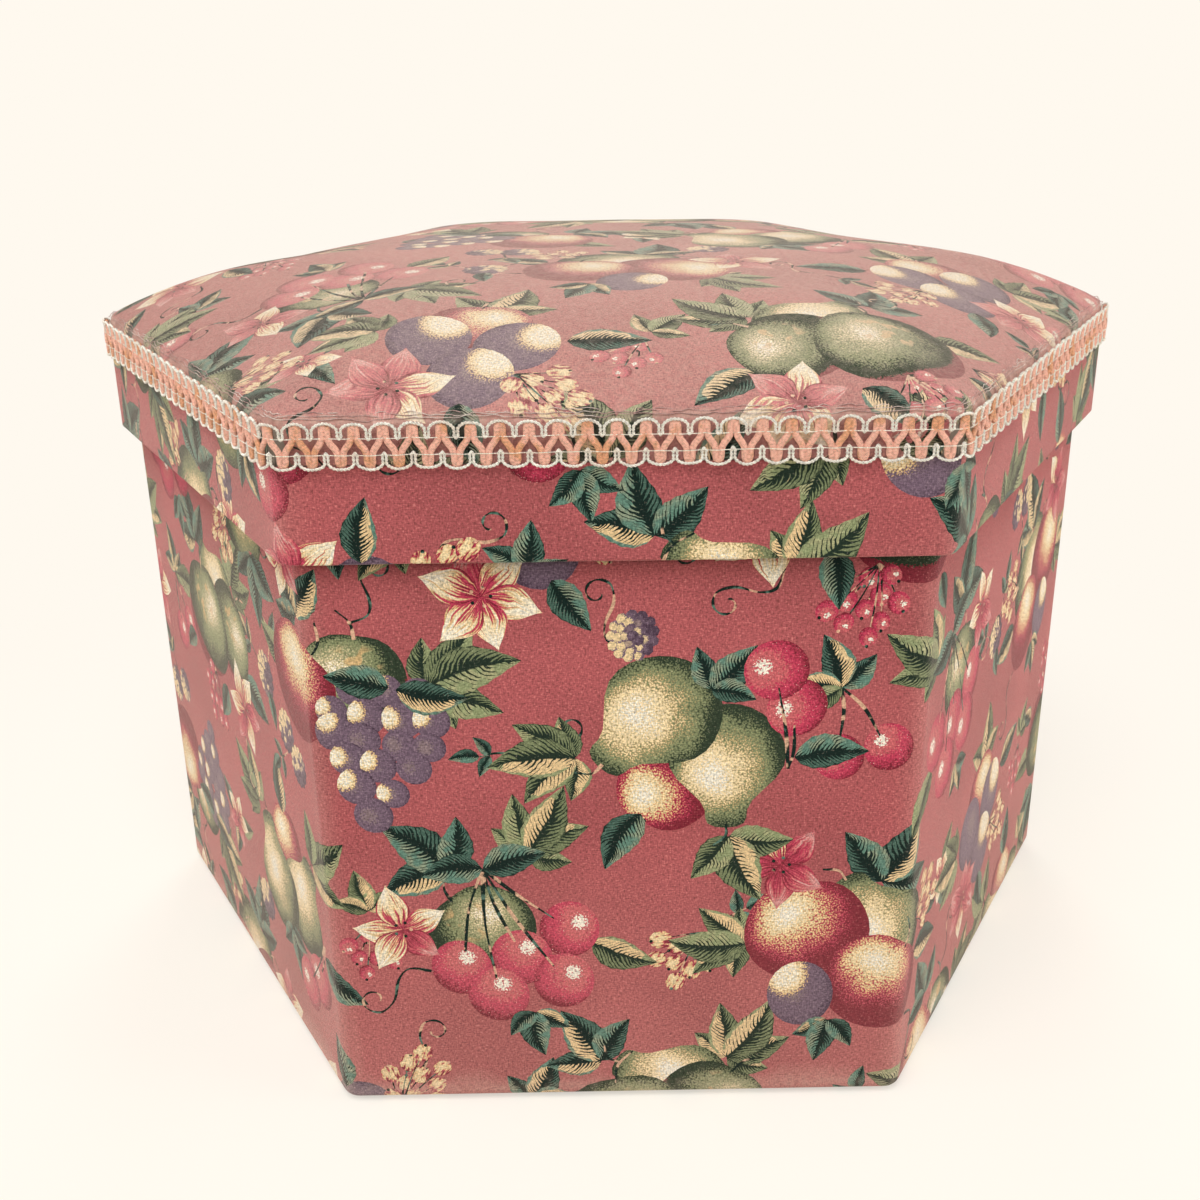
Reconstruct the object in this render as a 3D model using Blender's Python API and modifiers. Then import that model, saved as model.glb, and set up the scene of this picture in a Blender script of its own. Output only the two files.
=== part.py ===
"""A six-sided sewing box in cloth-covered board.

The body is six mitred wall boards round a base board, wrapped in one printed cloth.
Covered cards line it and stand short of the top, so that a divided tray rests on them.
The lid is a board with a mitred rim that slips down over the body. A foam pad crowns it,
a cloth is drawn over the pad, and a scalloped gimp braid hides where that cloth ends.

Metres, +Z up. The box stands on z = 0, a flat side faces -Y and two corners lie on the X axis.
"""

import math

import bmesh
import bpy
from mathutils import Matrix, Vector

# Overall sizes
body_side = 0.168
body_height = 0.2094
rim_depth = 0.0370
crown_rise = 0.0215

# Sheet goods
cloth = 0.0007
wall_board = 0.0025
base_thickness = 0.0030
rim_board = 0.0022
lid_thickness = 0.0030
base_cover_thickness = 0.0010
wall_lining = 0.0040
base_lining = 0.0020
lid_lining = 0.0015

# Fits
seat_gap = 0.0003
lid_slip = 0.0010
tray_slip = 0.0015

# Corners and edges
corner_radius = 0.0060
sharp_radius = 0.0005
bottom_radius = 0.0025
crown_edge_radius = 0.0035

# How far each cloth laps past the edge that it is folded over
base_turn_under = 0.0140
wall_turn_lap = 0.0120
rim_turn_in = 0.0150
base_cover_margin = 0.0040
skirt_length = 0.0100

# Gimp braid
gimp_width = 0.0127
gimp_thickness = 0.0014
gimp_above_rim = 0.0015
gimp_notch_width = 0.0011
gimp_notch_depth = 0.0037
gimp_scallop_rise = 0.0008
gimp_repeats_per_side = 24

# Tray
tray_height = 0.0400
tray_below_top = 0.0120
tray_wall = 0.0020
tray_floor_thickness = 0.0025
tray_corner_radius = 0.0015
divider_height = 0.0300
divider_thickness = 0.0020
tab_width = 0.0160
tab_stand = 0.0090
tab_grip = 0.0180
tab_thickness = 0.0012
tab_corner_radius = 0.0040

# Counts and proportions
SIDES = 6
CORNER_STEPS = 4
FOLD_STEPS = 3
CROWN_RINGS = 9
CROWN_POWER = 4
CROWN_MIDDLE_SHARE = 0.06
CROWN_ROUNDING_POWER = 1.5

TURN = math.tau / SIDES
HALF_TURN = TURN / 2
QUARTER = math.pi / 2

# Distances of the flat faces from the middle, worked inwards from the body's cloth and then outwards
wrap = cloth + seat_gap
body_apothem = body_side * math.cos(HALF_TURN)
wall_outer = body_apothem - wrap
wall_inner = wall_outer - wall_board
mouth_apothem = wall_inner - wrap
lining_outer = mouth_apothem - seat_gap
lining_inner = lining_outer - wall_lining
tray_outer = mouth_apothem - tray_slip
tray_inner = tray_outer - tray_wall
rim_mouth = body_apothem + lid_slip
rim_inner = rim_mouth + wrap
rim_outer = rim_inner + rim_board
lid_apothem = rim_outer + wrap
gimp_inner = lid_apothem + seat_gap
gimp_outer = gimp_inner + gimp_thickness

# Heights, from the surface that the box stands on
cover_bottom = base_cover_thickness + seat_gap
base_bottom = cover_bottom + wrap
base_top = base_bottom + base_thickness
wall_bottom = cover_bottom + bottom_radius
wall_top = body_height - wrap
storage_floor = base_top + seat_gap + base_lining
tray_top = body_height - tray_below_top
tray_bottom = tray_top - tray_height
ledge = tray_bottom - seat_gap
tray_floor_top = tray_bottom + tray_floor_thickness
lid_lining_bottom = body_height + seat_gap
lid_board_bottom = lid_lining_bottom + lid_lining + seat_gap
rim_top = lid_board_bottom + lid_thickness
rim_bottom = rim_top - rim_depth
rim_board_bottom = rim_bottom + wrap
rim_turn_top = rim_board_bottom + rim_turn_in
gimp_top = rim_top + gimp_above_rim
gimp_bottom = gimp_top - gimp_width
skirt_bottom = rim_top - skirt_length
rim_cover_top = skirt_bottom - seat_gap


def clear_scene():
    """Leaves the scene with no object in it."""
    for found in list(bpy.data.objects):
        bpy.data.objects.remove(found, do_unlink=True)


def make_material(name, color, roughness):
    """A plain finish for one kind of sheet."""
    material = bpy.data.materials.new(name)
    material.use_nodes = True
    shader = material.node_tree.nodes["Principled BSDF"]
    shader.inputs["Base Color"].default_value = (*color, 1.0)
    shader.inputs["Roughness"].default_value = roughness
    shader.inputs["Metallic"].default_value = 0.0
    return material


def make_finishes():
    """The finishes by the names that the pieces use."""
    return {
        "print": make_material("printed_cotton", (0.72, 0.47, 0.40), 0.90),
        "board": make_material("grey_board", (0.42, 0.39, 0.34), 0.95),
        "lining": make_material("lining_cotton", (0.78, 0.68, 0.58), 0.92),
        "foam": make_material("pad_foam", (0.88, 0.86, 0.74), 0.95),
        "gimp": make_material("gimp_cord", (0.80, 0.46, 0.36), 0.75),
        "ribbon": make_material("satin_ribbon", (0.74, 0.42, 0.38), 0.55),
    }


def hexagon_outline(apothem, radius):
    """A hexagon with rounded corners, anticlockwise from the corner on +X."""
    corner_distance = (apothem - radius) / math.cos(HALF_TURN)
    points = []
    for corner in range(SIDES):
        facing = corner * TURN
        centre = Vector((math.cos(facing), math.sin(facing))) * corner_distance
        for step in range(CORNER_STEPS + 1):
            angle = facing + HALF_TURN * (2 * step / CORNER_STEPS - 1)
            points.append(centre + Vector((math.cos(angle), math.sin(angle))) * radius)
    return points


def nested_radius(apothem, outer_apothem):
    """The corner radius of an outline that lies evenly inside the box's or the lid's outer one."""
    return max(corner_radius - (outer_apothem - apothem), sharp_radius)


def arc_profile(apothem, height, radius, start, stop, steps=FOLD_STEPS):
    """Points (apothem, height) of an arc in the upright plane, from one angle to the other."""
    points = []
    for step in range(steps + 1):
        angle = start + (stop - start) * step / steps
        points.append((apothem + radius * math.cos(angle), height + radius * math.sin(angle)))
    return points


def offset_profile(profile, distance):
    """The profile moved square to itself, to its left as it runs."""
    moved = []
    for index, (apothem, height) in enumerate(profile):
        before = Vector(profile[max(index - 1, 0)])
        here = Vector((apothem, height))
        after = Vector(profile[min(index + 1, len(profile) - 1)])
        sides = [(end - start).normalized() for start, end in ((before, here), (here, after)) if end != start]
        run = sum(sides, Vector((0, 0))).normalized()
        reach = distance / run.dot(sides[0])
        moved.append((apothem - run.y * reach, height + run.x * reach))
    return moved


def place(name, data, finish, parent=None):
    """Links one piece to the box's collection, and under the empty that it moves with."""
    piece = bpy.data.objects.new(name, data)
    bpy.data.collections["sewing_box"].objects.link(piece)
    data.materials.append(finish)
    if parent:
        piece.parent = parent
        piece.matrix_parent_inverse = Matrix.Translation(-parent.location)
    return piece


def loft(name, sections, finish, parent=None, cap_start=True, cap_end=True):
    """A surface through sections (outline, height) that have as many points each, capped where asked."""
    shape = bmesh.new()
    rings = []
    for outline, height in sections:
        rings.append([shape.verts.new((*point, height)) for point in outline])
    for low, high in zip(rings, rings[1:]):
        for index, corner in enumerate(low):
            after = (index + 1) % len(low)
            shape.faces.new((corner, low[after], high[after], high[index]))
    if cap_start:
        shape.faces.new(list(reversed(rings[0])))
    if cap_end:
        shape.faces.new(rings[-1])
    mesh = bpy.data.meshes.new(name)
    shape.to_mesh(mesh)
    shape.free()
    mesh.shade_smooth()
    mesh.set_sharp_from_angle(angle=HALF_TURN)
    return place(name, mesh, finish, parent)


def give_thickness(piece, thickness):
    """Turns an open surface into a sheet whose far face lies behind it."""
    solidify = piece.modifiers.new("Thickness", "SOLIDIFY")
    solidify.thickness = thickness
    solidify.offset = -1
    solidify.use_even_offset = True


def wrap_cloth(name, profile, outer_apothem, finish, parent=None):
    """A cloth that follows a profile all the way round the hexagon."""
    sections = []
    for apothem, height in profile:
        sections.append((hexagon_outline(apothem, nested_radius(apothem, outer_apothem)), height))
    cover = loft(name, sections, finish, parent, cap_start=False, cap_end=False)
    give_thickness(cover, cloth)
    return cover


def plate(name, outline, thickness, finish, parent=None):
    """A flat sheet cut to an outline, lying in XY about its own middle plane."""
    curve = bpy.data.curves.new(name, "CURVE")
    curve.dimensions = "2D"
    curve.fill_mode = "BOTH"
    curve.extrude = thickness / 2
    edge = curve.splines.new("POLY")
    edge.points.add(len(outline) - 1)
    for point, (x, y) in zip(edge.points, outline):
        point.co = (x, y, 0, 1)
    edge.use_cyclic_u = True
    return place(name, curve, finish, parent)


def flat_hexagon(name, apothem, bottom, top, radius, finish, parent=None):
    """A hexagonal board between two heights."""
    board = plate(name, hexagon_outline(apothem, radius), top - bottom, finish, parent)
    board.location.z = (bottom + top) / 2
    return board


def mitred_outline(outer, inner, radius):
    """The plan of one wall board: its face towards +Y, its ends mitred, its outer corners eased."""
    corner = Vector(((outer - radius) * math.tan(HALF_TURN), outer - radius))
    last_angle = HALF_TURN - math.asin(seat_gap / 2 / radius)
    half = []
    for step in range(CORNER_STEPS // 2 + 1):
        angle = last_angle * step / (CORNER_STEPS // 2)
        half.append(corner + Vector((math.sin(angle), math.cos(angle))) * radius)
    inner_end = inner * math.tan(HALF_TURN) - seat_gap / 2 / math.cos(HALF_TURN)
    half.append(Vector((inner_end, inner)))
    return [(-x, y) for x, y in reversed(half)] + [(x, y) for x, y in half]


def six_boards(name, outer, inner, bottom, top, radius, finish, parent=None):
    """Six mitred boards round the middle, numbered anticlockwise from the front."""
    for number in range(SIDES):
        board = plate(f"{name}_{number + 1}", mitred_outline(outer, inner, radius), top - bottom, finish, parent)
        board.location.z = (bottom + top) / 2
        board.rotation_euler.z = math.pi + number * TURN


def make_body(finish):
    """Base, walls and the one cloth that wraps them."""
    flat_hexagon(
        "base_cover",
        body_apothem - base_cover_margin,
        0,
        base_cover_thickness,
        nested_radius(body_apothem - base_cover_margin, body_apothem),
        finish["lining"],
    )
    flat_hexagon("base_board", wall_inner - seat_gap, base_bottom, base_top, sharp_radius, finish["board"])
    six_boards(
        "wall_board",
        wall_outer,
        wall_inner,
        wall_bottom,
        wall_top,
        nested_radius(wall_outer, body_apothem),
        finish["board"],
    )
    profile = [(body_apothem - base_turn_under, cover_bottom)]
    profile += arc_profile(body_apothem - bottom_radius, wall_bottom, bottom_radius, -QUARTER, 0)
    profile += arc_profile(wall_outer, wall_top, wrap, 0, QUARTER)
    profile += arc_profile(wall_inner, wall_top, wrap, QUARTER, math.pi)
    profile.append((mouth_apothem, ledge - wall_turn_lap))
    wrap_cloth("body_cover", profile, body_apothem, finish["print"])


def make_body_lining(finish):
    """Covered cards inside the body, short enough for the tray to rest on."""
    lining_radius = nested_radius(lining_outer, body_apothem)
    six_boards(
        "wall_lining_card",
        lining_outer,
        lining_inner,
        base_top + seat_gap,
        ledge,
        lining_radius,
        finish["lining"],
    )
    flat_hexagon(
        "base_lining_card",
        lining_inner - seat_gap,
        base_top + seat_gap,
        storage_floor,
        sharp_radius,
        finish["lining"],
    )


def divider_outline(solid_third):
    """A divider's side view. It is slotted through every third of its height but its own."""
    third = divider_height / 3
    half_length = tray_inner / math.cos(HALF_TURN) - divider_thickness / 2 / math.tan(TURN) - seat_gap / math.sin(TURN)
    half_slot = divider_thickness / 2 * (1 + math.cos(TURN)) / math.sin(TURN) + seat_gap
    solid_low = solid_third * third + seat_gap / 2
    solid_high = (solid_third + 1) * third - seat_gap / 2
    outline = [(-half_length, 0)]
    if solid_third > 0:
        outline += [(-half_slot, 0), (-half_slot, solid_low), (half_slot, solid_low), (half_slot, 0)]
    outline += [(half_length, 0), (half_length, divider_height)]
    if solid_third < 2:
        outline += [
            (half_slot, divider_height),
            (half_slot, solid_high),
            (-half_slot, solid_high),
            (-half_slot, divider_height),
        ]
    outline.append((-half_length, divider_height))
    return outline


def tab_outline():
    """A pull tab's side view, its upper corners rounded."""
    half_width = tab_width / 2
    tab_length = tab_grip + tab_stand
    centre_x = half_width - tab_corner_radius
    centre_z = tab_length - tab_corner_radius
    right = arc_profile(centre_x, centre_z, tab_corner_radius, 0, QUARTER)
    left = arc_profile(-centre_x, centre_z, tab_corner_radius, QUARTER, math.pi)
    return [(-half_width, 0), (half_width, 0)] + right + left


def make_tray(finish, parent):
    """A six-sided tray with three dividers halved together and two pull tabs."""
    flat_hexagon("tray_floor", tray_outer, tray_bottom, tray_floor_top, tray_corner_radius, finish["lining"], parent)
    six_boards(
        "tray_wall",
        tray_outer,
        tray_inner,
        tray_floor_top + seat_gap,
        tray_top,
        tray_corner_radius,
        finish["print"],
        parent,
    )
    for number in range(SIDES // 2):
        divider = plate(
            f"tray_divider_{number + 1}", divider_outline(number), divider_thickness, finish["lining"], parent
        )
        divider.rotation_euler = (QUARTER, 0, number * TURN)
        divider.location.z = tray_floor_top + seat_gap
    for number, side in enumerate((-1, 1)):
        tab = plate(f"tray_pull_tab_{number + 1}", tab_outline(), tab_thickness, finish["ribbon"], parent)
        tab.rotation_euler.x = QUARTER
        tab.location = (0, side * (tray_inner - seat_gap - tab_thickness / 2), tray_top - tab_grip)


def crown_profile():
    """The outer face of the lid's top cloth: up the rim, round its edge and over the crown to the middle."""
    slope = math.atan(CROWN_POWER * crown_rise / lid_apothem)
    edge = arc_profile(
        lid_apothem - crown_edge_radius,
        rim_top,
        crown_edge_radius,
        0,
        QUARTER - slope,
    )
    edge_apothem, edge_height = edge[-1]
    profile = [(lid_apothem, skirt_bottom)] + edge
    for ring in range(1, CROWN_RINGS + 1):
        share = 1 - (1 - CROWN_MIDDLE_SHARE) * ring / CROWN_RINGS
        profile.append((edge_apothem * share, edge_height + crown_rise * (1 - share**CROWN_POWER)))
    return profile


def crown_outline(apothem):
    """The lid's plan at this distance in: its own corners at the rim, rounder towards the middle."""
    inward = max(1 - apothem / lid_apothem, 0)
    rim_share = corner_radius / lid_apothem
    rounding = rim_share + (1 - rim_share) * inward**CROWN_ROUNDING_POWER
    return hexagon_outline(apothem, apothem * rounding)


def make_lid(finish, parent):
    """The lid's board and mitred rim, their lining, and the rim's cloth."""
    board_apothem = rim_inner - seat_gap
    flat_hexagon("lid_board", board_apothem, lid_board_bottom, rim_top, sharp_radius, finish["board"], parent)
    flat_hexagon(
        "lid_lining_card",
        board_apothem,
        lid_lining_bottom,
        lid_lining_bottom + lid_lining,
        sharp_radius,
        finish["lining"],
        parent,
    )
    six_boards(
        "lid_rim_board",
        rim_outer,
        rim_inner,
        rim_board_bottom,
        rim_top,
        nested_radius(rim_outer, lid_apothem),
        finish["board"],
        parent,
    )
    profile = [(rim_mouth, rim_turn_top)]
    profile += arc_profile(rim_inner, rim_board_bottom, wrap, math.pi, math.pi + QUARTER)
    profile += arc_profile(rim_outer, rim_board_bottom, wrap, -QUARTER, 0)
    profile.append((lid_apothem, rim_cover_top))
    wrap_cloth("lid_rim_cover", profile, lid_apothem, finish["print"], parent)
    lining = [(rim_mouth, body_height), (rim_mouth, rim_turn_top + seat_gap)]
    wrap_cloth("lid_rim_lining", lining, lid_apothem, finish["lining"], parent)


def make_padded_top(finish, parent):
    """The foam crown and the cloth drawn over it."""
    outer = crown_profile()
    sections = [(crown_outline(apothem), height) for apothem, height in outer]
    cover = loft("lid_top_cover", sections, finish["print"], parent, cap_start=False)
    give_thickness(cover, cloth)
    foam = [point for point in offset_profile(outer, wrap) if point[1] > rim_top + seat_gap]
    foam.insert(0, (rim_outer - seat_gap, rim_top + seat_gap))
    loft("lid_foam_pad", [(crown_outline(apothem), height) for apothem, height in foam], finish["foam"], parent)


def point_round(distance, apothem, radius):
    """The place that lies this far along a rounded hexagon, measured from the middle of its front."""
    straight = 2 * (apothem - radius) * math.tan(HALF_TURN)
    arc = radius * TURN
    side_number, along = divmod(distance + straight / 2, straight + arc)
    facing = side_number * TURN - QUARTER
    outward = Vector((math.cos(facing), math.sin(facing)))
    onward = Vector((-outward.y, outward.x))
    if along <= straight:
        return outward * apothem + onward * (along - straight / 2)
    turned = (along - straight) / radius
    centre = outward * (apothem - radius) + onward * straight / 2
    return centre + outward * (radius * math.cos(turned)) + onward * (radius * math.sin(turned))


def scallop_drop(from_notch, pitch):
    """How far the gimp's edge falls short of its scallops' tops, this far from the nearest notch."""
    half_notch = gimp_notch_width / 2
    if from_notch < half_notch / 2:
        return gimp_notch_depth
    share = (pitch / 2 - from_notch) / (pitch / 2 - half_notch)
    return gimp_scallop_rise * (1 - math.sqrt(max(0, 1 - share ** 2)))


def make_gimp(finish, parent):
    """The gimp as one band. Notches between its scallops bite into the two edges by turns."""
    radius = nested_radius(gimp_outer, lid_apothem)
    straight = 2 * (gimp_outer - radius) * math.tan(HALF_TURN)
    pitch = (straight + radius * TURN) / gimp_repeats_per_side
    half_notch = gimp_notch_width / 2
    lower = []
    upper = []
    for half_repeat in range(2 * gimp_repeats_per_side * SIDES):
        for step in (-half_notch, 0, half_notch):
            x, y = point_round(half_repeat * pitch / 2 + step, gimp_outer, radius)
            notched = scallop_drop(abs(step), pitch)
            whole = scallop_drop(pitch / 2 - abs(step), pitch)
            if half_repeat % 2:
                notched, whole = whole, notched
            lower.append((x, y, gimp_bottom + whole))
            upper.append((x, y, gimp_top - notched))
    shape = bmesh.new()
    low = [shape.verts.new(point) for point in lower]
    high = [shape.verts.new(point) for point in upper]
    for index, corner in enumerate(low):
        after = (index + 1) % len(low)
        shape.faces.new((corner, low[after], high[after], high[index]))
    mesh = bpy.data.meshes.new("gimp_braid")
    shape.to_mesh(mesh)
    shape.free()
    band = place("gimp_braid", mesh, finish["gimp"], parent)
    give_thickness(band, gimp_thickness)


def make_slide(name, height):
    """An empty on the upright axis that a lifted piece travels along."""
    slide = bpy.data.objects.new(name, None)
    slide.location.z = height
    bpy.data.collections["sewing_box"].objects.link(slide)
    return slide


def main():
    clear_scene()
    collection = bpy.data.collections.new("sewing_box")
    bpy.context.scene.collection.children.link(collection)
    finish = make_finishes()
    lid_slide = make_slide("lid_slide", rim_bottom)
    tray_slide = make_slide("tray_slide", tray_bottom)
    make_body(finish)
    make_body_lining(finish)
    make_tray(finish, tray_slide)
    make_lid(finish, lid_slide)
    make_padded_top(finish, lid_slide)
    make_gimp(finish, lid_slide)


main()
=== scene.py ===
import math
import random

import bmesh
import bpy
import numpy as np
from bpy.props import FloatProperty, FloatVectorProperty, IntProperty, PointerProperty
from mathutils import Matrix, Vector, geometry
from mathutils.bvhtree import BVHTree


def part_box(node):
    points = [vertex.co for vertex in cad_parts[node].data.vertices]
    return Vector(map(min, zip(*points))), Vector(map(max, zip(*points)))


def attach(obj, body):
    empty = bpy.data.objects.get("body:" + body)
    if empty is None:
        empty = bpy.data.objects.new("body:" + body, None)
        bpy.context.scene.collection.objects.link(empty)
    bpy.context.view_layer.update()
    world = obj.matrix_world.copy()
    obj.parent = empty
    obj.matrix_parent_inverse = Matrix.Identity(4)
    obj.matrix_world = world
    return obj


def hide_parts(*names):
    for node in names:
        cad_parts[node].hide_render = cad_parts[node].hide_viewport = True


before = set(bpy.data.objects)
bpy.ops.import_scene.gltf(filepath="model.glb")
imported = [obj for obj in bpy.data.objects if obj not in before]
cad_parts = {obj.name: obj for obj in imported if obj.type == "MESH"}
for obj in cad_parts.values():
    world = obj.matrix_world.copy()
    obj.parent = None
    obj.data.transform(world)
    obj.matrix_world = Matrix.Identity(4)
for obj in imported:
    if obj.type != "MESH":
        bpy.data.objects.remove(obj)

bl_info = {
    "name": "Cloth-covered sewing box",
    "version": (1, 0, 0),
    "blender": (4, 5, 0),
    "location": "3D View > Sidebar > Sewing Box",
    "description": "Covers a six-sided sewing box in printed cotton, with a padded lid and a gimp braid",
    "category": "Object",
}

MM = 0.001
SIDES = 6
TURN = math.tau / SIDES
HALF_TURN = TURN / 2
QUARTER = math.pi / 2

CHALK = (0.80, 0.74, 0.62)
PALE_THREAD = (0.9, 0.75, 0.66)
RUBBED_PRINT = (0.95, 0.86, 0.66)
# Painted shade: the colour the cotton darkens towards just under the lid's rim and at the rim's lower fold.
PAINTED_SHADE_COLOUR = (0.10, 0.045, 0.05)

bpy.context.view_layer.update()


# Sizes read from the solids


def flat_face(node):
    """How far a node's flat faces stand from the middle, from its reach towards -Y."""
    return -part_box(node)[0].y


def rounding(node):
    """The corner radius of a hexagonal node, from how far its corners fall short of sharp ones."""
    sharp = flat_face(node) / math.cos(HALF_TURN)
    return (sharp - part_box(node)[1].x) / (1 / math.cos(HALF_TURN) - 1)


def flat_inner(node):
    """How far the inner flat face of a front board stands from the middle."""
    return -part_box(node)[1].y


BODY_APOTHEM = flat_face("body_cover")
BODY_RADIUS = rounding("body_cover")
BODY_BOTTOM, BODY_TOP = (corner.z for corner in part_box("body_cover"))
LID_APOTHEM = flat_face("lid_rim_cover")
LID_RADIUS = rounding("lid_rim_cover")
RIM_BOTTOM, RIM_COVER_TOP = (corner.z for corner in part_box("lid_rim_cover"))
RIM_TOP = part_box("lid_rim_board_1")[1].z
SKIRT_BOTTOM, CROWN_TOP = (corner.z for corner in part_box("lid_top_cover"))
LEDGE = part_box("wall_lining_card_1")[1].z
GIMP_BOTTOM, GIMP_TOP = (corner.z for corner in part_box("gimp_braid"))
GIMP_MIDDLE = (GIMP_TOP + GIMP_BOTTOM) / 2
HALF_GIMP = (GIMP_TOP - GIMP_BOTTOM) / 2
GIMP_APOTHEM = (LID_APOTHEM + 0.3 * MM + flat_face("gimp_braid")) / 2
GIMP_PLAN = GIMP_APOTHEM, LID_RADIUS + GIMP_APOTHEM - LID_APOTHEM


# Settings


def linear(value):
    """A colour value as a screen shows it, from 0 to 255, in the linear scale that shaders use."""
    share = value / 255
    return share / 12.92 if share <= 0.04045 else ((share + 0.055) / 1.055) ** 2.4


def mixed(first, second, share):
    return tuple(a + (b - a) * share for a, b in zip(first, second))


def shaded(colour, share):
    return [share * value for value in colour]


def dye(name, description, *screen):
    colour = [linear(value) for value in screen]
    return FloatVectorProperty(
        name=name, description=description, default=colour, subtype="COLOR", size=3, min=0, max=1
    )


def number(name, description, default, least, most, **more):
    return FloatProperty(name=name, description=description, default=default, min=least, max=most, **more)


def length(name, description, millimetres, most=400):
    more = {"precision": 5, "subtype": "DISTANCE", "unit": "LENGTH"}
    return number(name, description, millimetres * MM, 0, most * MM, **more)


def tilt(name, description, degrees):
    return number(name, description, math.radians(degrees), -math.pi, math.pi, subtype="ANGLE")


def power(name, description, watts):
    return number(name, description, watts, 0, 100, unit="POWER")


class PrintColours(bpy.types.PropertyGroup):
    """Dyes of the printed cotton."""

    ground: dye("Ground", "Dusty rose behind the motifs", 167, 87, 88)
    crimson: dye("Crimson", "Cherries and the hearts of blossoms", 184, 60, 84)
    wine: dye("Wine", "Shaded side of red fruit", 122, 38, 50)
    cream: dye("Cream", "Lit fruit and petals", 228, 206, 162)
    straw: dye("Straw", "Between cream and the darker dyes", 206, 168, 116)
    apple: dye("Apple green", "Middle tone of green fruit", 128, 134, 96)
    moss: dye("Moss", "Shaded side of green fruit", 46, 58, 42)
    plum: dye("Plum", "Middle tone of plums and grapes", 112, 92, 106)
    dusk: dye("Dusk", "Shaded side of plums and grapes", 80, 62, 76)
    teal: dye("Teal", "Light half of the dark leaves", 94, 128, 112)
    pine: dye("Pine", "Veins, outlines and stems", 14, 34, 29)
    olive: dye("Olive", "Light leaves", 138, 147, 106)


class PieceColours(bpy.types.PropertyGroup):
    """Colours of what is not printed."""

    lining: dye("Lining", "Plain cotton inside the box", 222, 196, 176)
    board: dye("Board", "Grey board under the cloth", 158, 150, 136)
    base_cloth: dye("Base cloth", "Plain cotton under the box", 196, 150, 138)
    tray_cloth: dye("Tray cloth", "Plain rose cotton round the tray", 186, 112, 106)
    reverse: dye("Reverse", "Wrong side of the printed cotton", 206, 150, 142)
    salmon: dye("Salmon", "Serpentine cords of the gimp", 250, 190, 166)
    tan: dye("Tan", "Aged patches of the serpentine cords", 230, 164, 116)
    edging: dye("Edging", "Cream cords of the gimp", 255, 249, 234)
    ribbon: dye("Ribbon", "Satin of the pull tabs", 192, 98, 92)


class PrintSizes(bpy.types.PropertyGroup):
    """How the motifs are laid on the cotton."""

    across: length("Spacing across", "Distance between bouquets along a row", 96)
    down: length("Spacing down", "Distance between rows of bouquets", 68)
    jitter: length("Jitter", "How far a bouquet may stray from its place", 5)
    scale: number("Scale", "Size of every motif", 1.0, 0.5, 2)
    seed: IntProperty(name="Seed", description="Picks another layout of the same motifs", default=11)


class ClothSizes(bpy.types.PropertyGroup):
    """The cotton and how it is folded."""

    thickness: length("Thickness", "Thickness of the cotton", 0.7, 3)
    thread: length("Thread", "Distance between threads of the weave", 0.46, 3)
    base_turn: length("Turn under", "Cloth folded under the base", 14)
    fold_radius: length("Fold radius", "Rounding where cloth folds over a board", 1.0, 5)
    bottom_radius: length("Bottom radius", "Rounding of the body's lowest edge", 2.5, 8)
    inside_lap: length("Inside lap", "How far the cloth reaches behind the lining", 12)
    seam_lap: length("Seam lap", "Overlap of the cloth's two ends at the back", 12)
    rim_turn: length("Rim turn", "Cloth folded up inside the rim", 16)
    ripple: length("Ripple", "Unevenness of the glued cloth", 0.16, 2)


class PadSizes(bpy.types.PropertyGroup):
    """The padded top of the lid."""

    edge_radius: length("Edge radius", "Rounding where the cloth turns down over the rim", 3.5, 12)
    crown_power: number("Crown power", "How flat the crown is in its middle", 4.0, 2, 8)
    puff: length("Puff", "Most that the simulated filling lifts the cloth", 2.0, 10)
    lip: length("Lip", "Ridge of cloth that stands up beside the gimp", 0.7, 3)


class GimpSizes(bpy.types.PropertyGroup):
    """The gimp braid round the lid."""

    repeats: IntProperty(
        name="Repeats per side", description="Scallops along one side", default=24, min=4, max=60
    )
    strand: length("Strand", "Thickness of the serpentine cords", 1.75, 4)
    cord: length("Edge cord", "Thickness of the scalloped cords", 0.95, 4)
    binder: length("Binder", "Thickness of the binding threads", 0.22, 2)
    slack: length("Slack", "How unevenly the cords lie", 0.7, 3)
    swell: length("Swell", "How much rounder one scallop is than the next", 1.3, 3)
    fray: length("Fray", "Thickness of the worn threads above the gimp", 0.2, 2)
    notch_depth: length("Notch depth", "How far a scallop dips towards the middle", 4.1, 6)
    notch_width: length("Notch width", "Width of a dip between its cords' middles", 0.98, 5)


class StageSizes(bpy.types.PropertyGroup):
    """Camera, floor and lamps."""

    place: FloatVectorProperty(
        name="Camera place", description="Where the camera stands", default=(-0.0070, -0.4929, 0.3021),
        size=3, subtype="TRANSLATION", unit="LENGTH", precision=4,
    )
    yaw: tilt("Yaw", "Turn of the camera to its left", -0.3768)
    pitch: tilt("Pitch", "How far the camera looks down", 21.5386)
    roll: tilt("Roll", "Tilt of the camera", -0.7915)
    lens: number("Lens", "Focal length", 42.265, 10, 200, unit="CAMERA")
    background: dye("Background", "Pale floor and backdrop", 255, 249, 239)
    sky: number("Sky", "Strength of the even light", 0.34, 0, 3)
    key: power("Key", "Power of the high lamp", 12.9)
    left: power("Left", "Power of the left lamp", 3.9)
    right: power("Right", "Power of the right lamp", 6.6)
    back: power("Back", "Power of the lamp behind", 9.6)


class SewingBoxSettings(bpy.types.PropertyGroup):
    """Every size and colour of the dressed box."""

    dyes: PointerProperty(type=PrintColours)
    colours: PointerProperty(type=PieceColours)
    layout: PointerProperty(type=PrintSizes)
    cloth: PointerProperty(type=ClothSizes)
    pad: PointerProperty(type=PadSizes)
    gimp: PointerProperty(type=GimpSizes)
    stage: PointerProperty(type=StageSizes)


def sizes():
    return bpy.context.scene.sewing_box


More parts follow.
